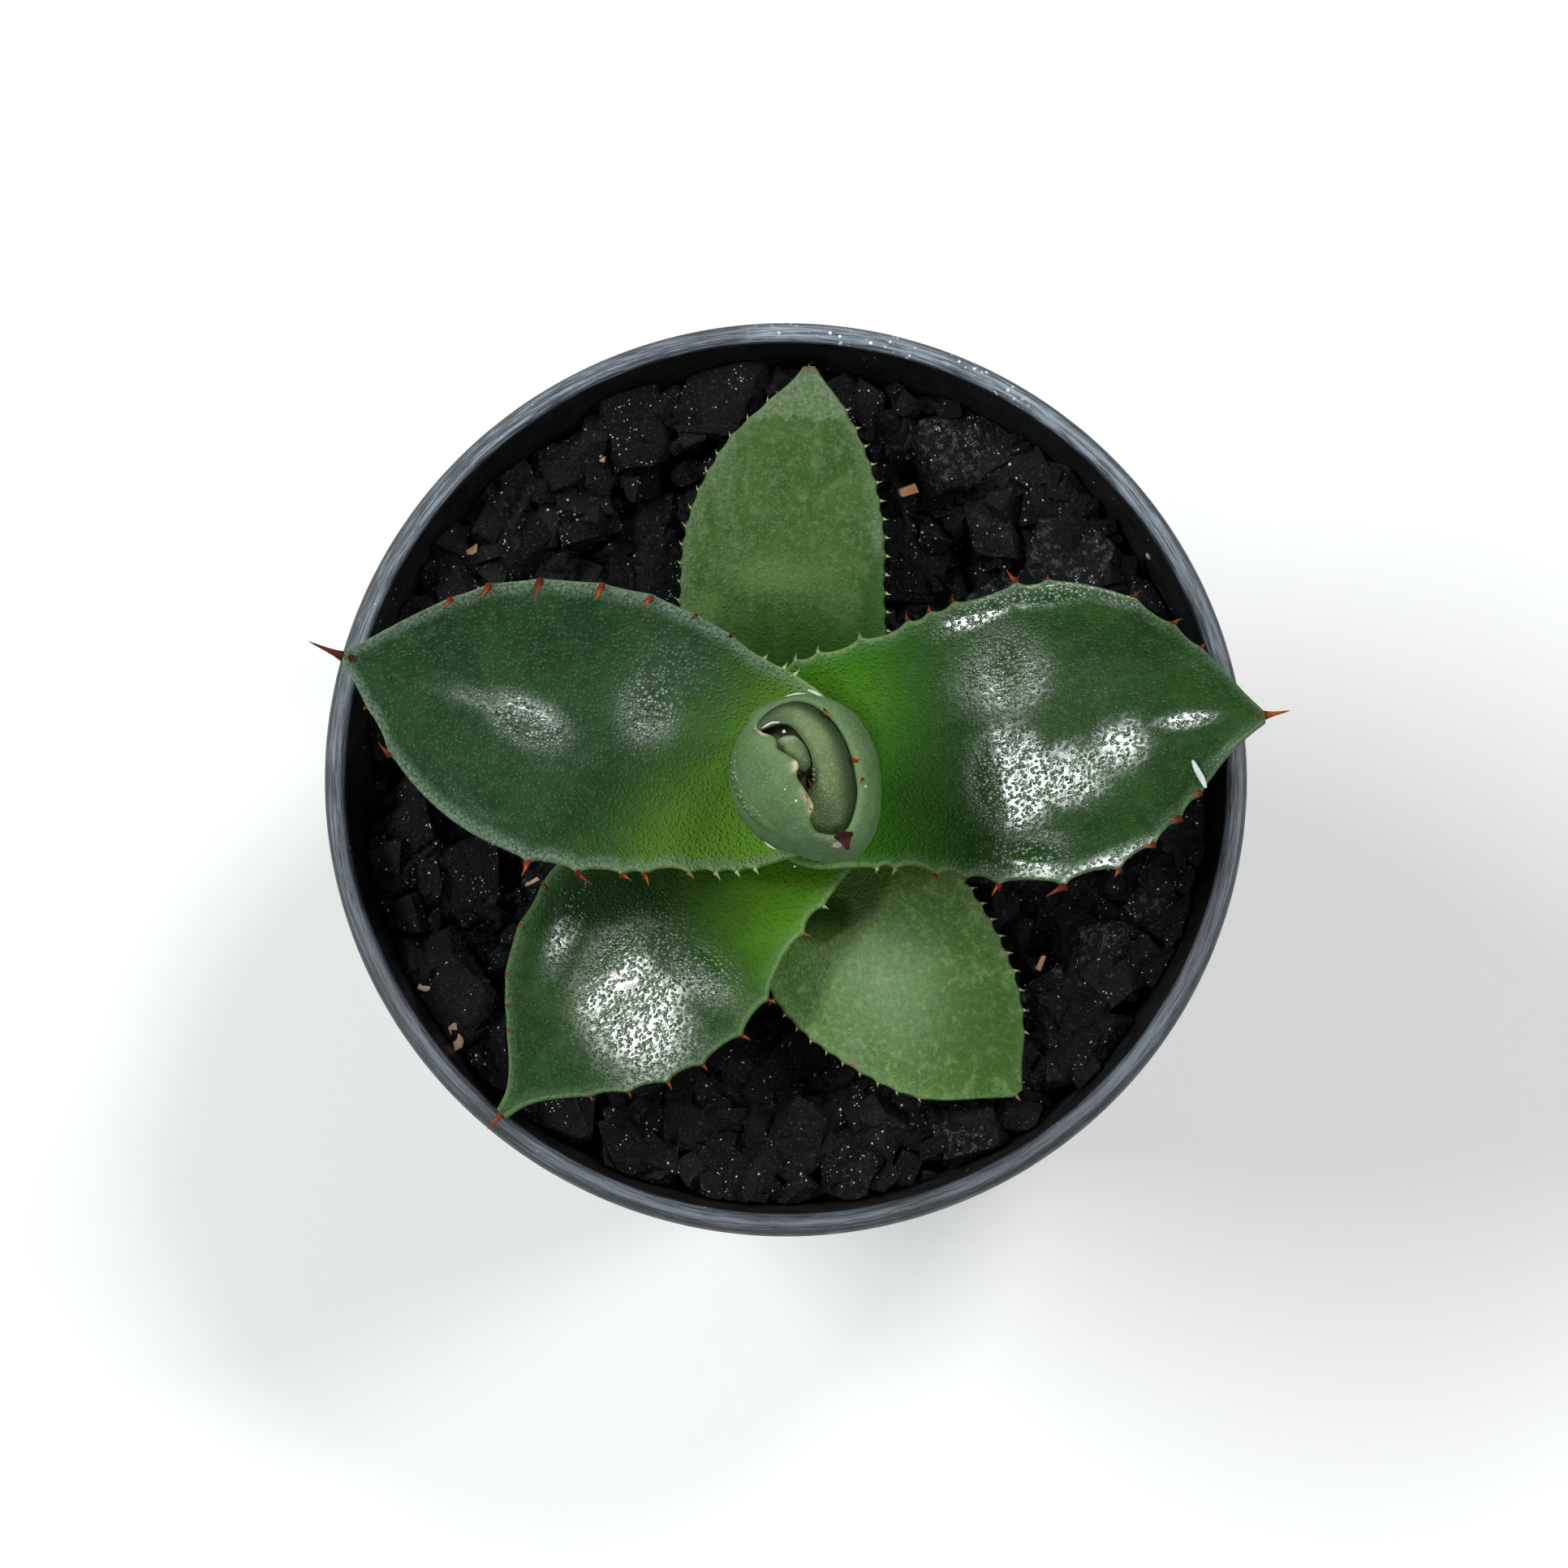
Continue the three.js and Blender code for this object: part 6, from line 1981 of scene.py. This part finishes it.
def make_litter():
    rng = np.random.default_rng(LITTER_SEED)
    points, faces, grain, tone = [], [], [], []
    for x, y, height, length, width, turn, shade in CRUMBS:
        half = (length / 2, width / 2, width / 5)
        local, _, crumb_faces = broken_block(random_corners(half, rng), rng, 4, 0.5)
        local[:, 2] += 0.18 * local[:, 0] ** 2
        aim = Euler((rng.uniform(-0.4, 0.4), rng.uniform(-0.3, 0.3), math.radians(turn)), "XYZ").to_matrix()
        first = len(points)
        points.extend(local @ np.array(aim).T + (x, y, POT_HEIGHT + height))
        faces.extend([[first + k for k in face] for face in crumb_faces])
        grain.extend(local + grain_shift(rng))
        tone.extend([shade] * len(local))
    crumbs = make_object("litter", points, faces, litter_finish())
    store(crumbs, "grain", "FLOAT_VECTOR", np.array(grain) * MM)
    store(crumbs, "tone", "FLOAT", tone)
    return crumbs


def make_bead():
    """One cloudy bead of expanded perlite"""
    x, y, height, radius = BEAD
    work = bmesh.new()
    bmesh.ops.create_icosphere(work, subdivisions=3, radius=radius)
    points = np.array([vert.co for vert in work.verts]) + (x, y, POT_HEIGHT + height)
    faces = [[vert.index for vert in face.verts] for face in work.faces]
    work.free()
    finish = Finish("perlite", 0.6)
    cloudy = finish.noise(0.5, detail=3)
    finish.paint(finish.mix(cloudy, (0.1, 0.11, 0.12), (0.3, 0.32, 0.34)), None, finish.bump(cloudy, 0.1))
    return make_object("bead", points, faces, finish.material)


litter = make_litter()
smooth(litter, 30)
bead = make_bead()
bead.data.shade_smooth()
join_meshes(litter, bead)
settle(litter, "mix")


# Floor, light and camera
# A plain pale floor, a long soft box on the left with three smaller ones to fill, and a camera
# that looks almost straight down, as the photograph was taken.
FLOOR_REACH = 3000
CAMERA_TILT = 8
CAMERA_TARGET = (-0.2, -1.4, 85)
CAMERA_DISTANCE = 470.28
LENS = 100
SENSOR = 36


corners = [(-1, -1), (1, -1), (1, 1), (-1, 1)]
floor = make_object(
    "floor",
    [(FLOOR_REACH * x, FLOOR_REACH * y, 0) for x, y in corners],
    [(0, 1, 2, 3)],
    Finish("pale_floor", 0.85).paint((0.8, 0.8, 0.79)),
)


def soft_box(name, place, target, size, power, tint=(1, 1, 1)):
    """Soft light of this size across and along, whose face is turned to the target"""
    light = bpy.data.lights.new(name, "AREA")
    light.shape = "RECTANGLE"
    light.size, light.size_y = size[0] * MM, size[1] * MM
    light.energy = power
    light.color = tint
    thing = bpy.data.objects.new(name, light)
    thing.location = Vector(place) * MM
    thing.rotation_euler = (Vector(target) - Vector(place)).to_track_quat("-Z", "Y").to_euler()
    bpy.context.scene.collection.objects.link(thing)


plant = (0, 0, 90)
soft_box("key", (-1150, 300, 1400), plant, (1150, 240), 32, (0.95, 0.99, 1))
soft_box("side", (1300, 340, 1280), plant, (320, 320), 11.5, (0.95, 0.98, 1))
soft_box("back", (560, 680, 1650), plant, (310, 310), 12)
soft_box("front", (150, -950, 1500), plant, (600, 600), 8)

world = bpy.data.worlds.new("studio")
world.use_nodes = True
world.node_tree.nodes["Background"].inputs["Color"].default_value = (0.9, 0.95, 1, 1)
world.node_tree.nodes["Background"].inputs["Strength"].default_value = 0.08
bpy.context.scene.world = world
bpy.context.scene.view_settings.view_transform = "Standard"

camera_data = bpy.data.cameras.new("camera")
camera_data.lens = LENS
camera_data.sensor_width = SENSOR
camera_data.clip_start = 0.01
camera = bpy.data.objects.new("camera", camera_data)
tilt = math.radians(CAMERA_TILT)
backwards = Vector((0, -math.sin(tilt), math.cos(tilt)))
camera.location = (Vector(CAMERA_TARGET) + CAMERA_DISTANCE * backwards) * MM
camera.rotation_euler = (tilt, 0, 0)
bpy.context.scene.collection.objects.link(camera)
bpy.context.scene.camera = camera
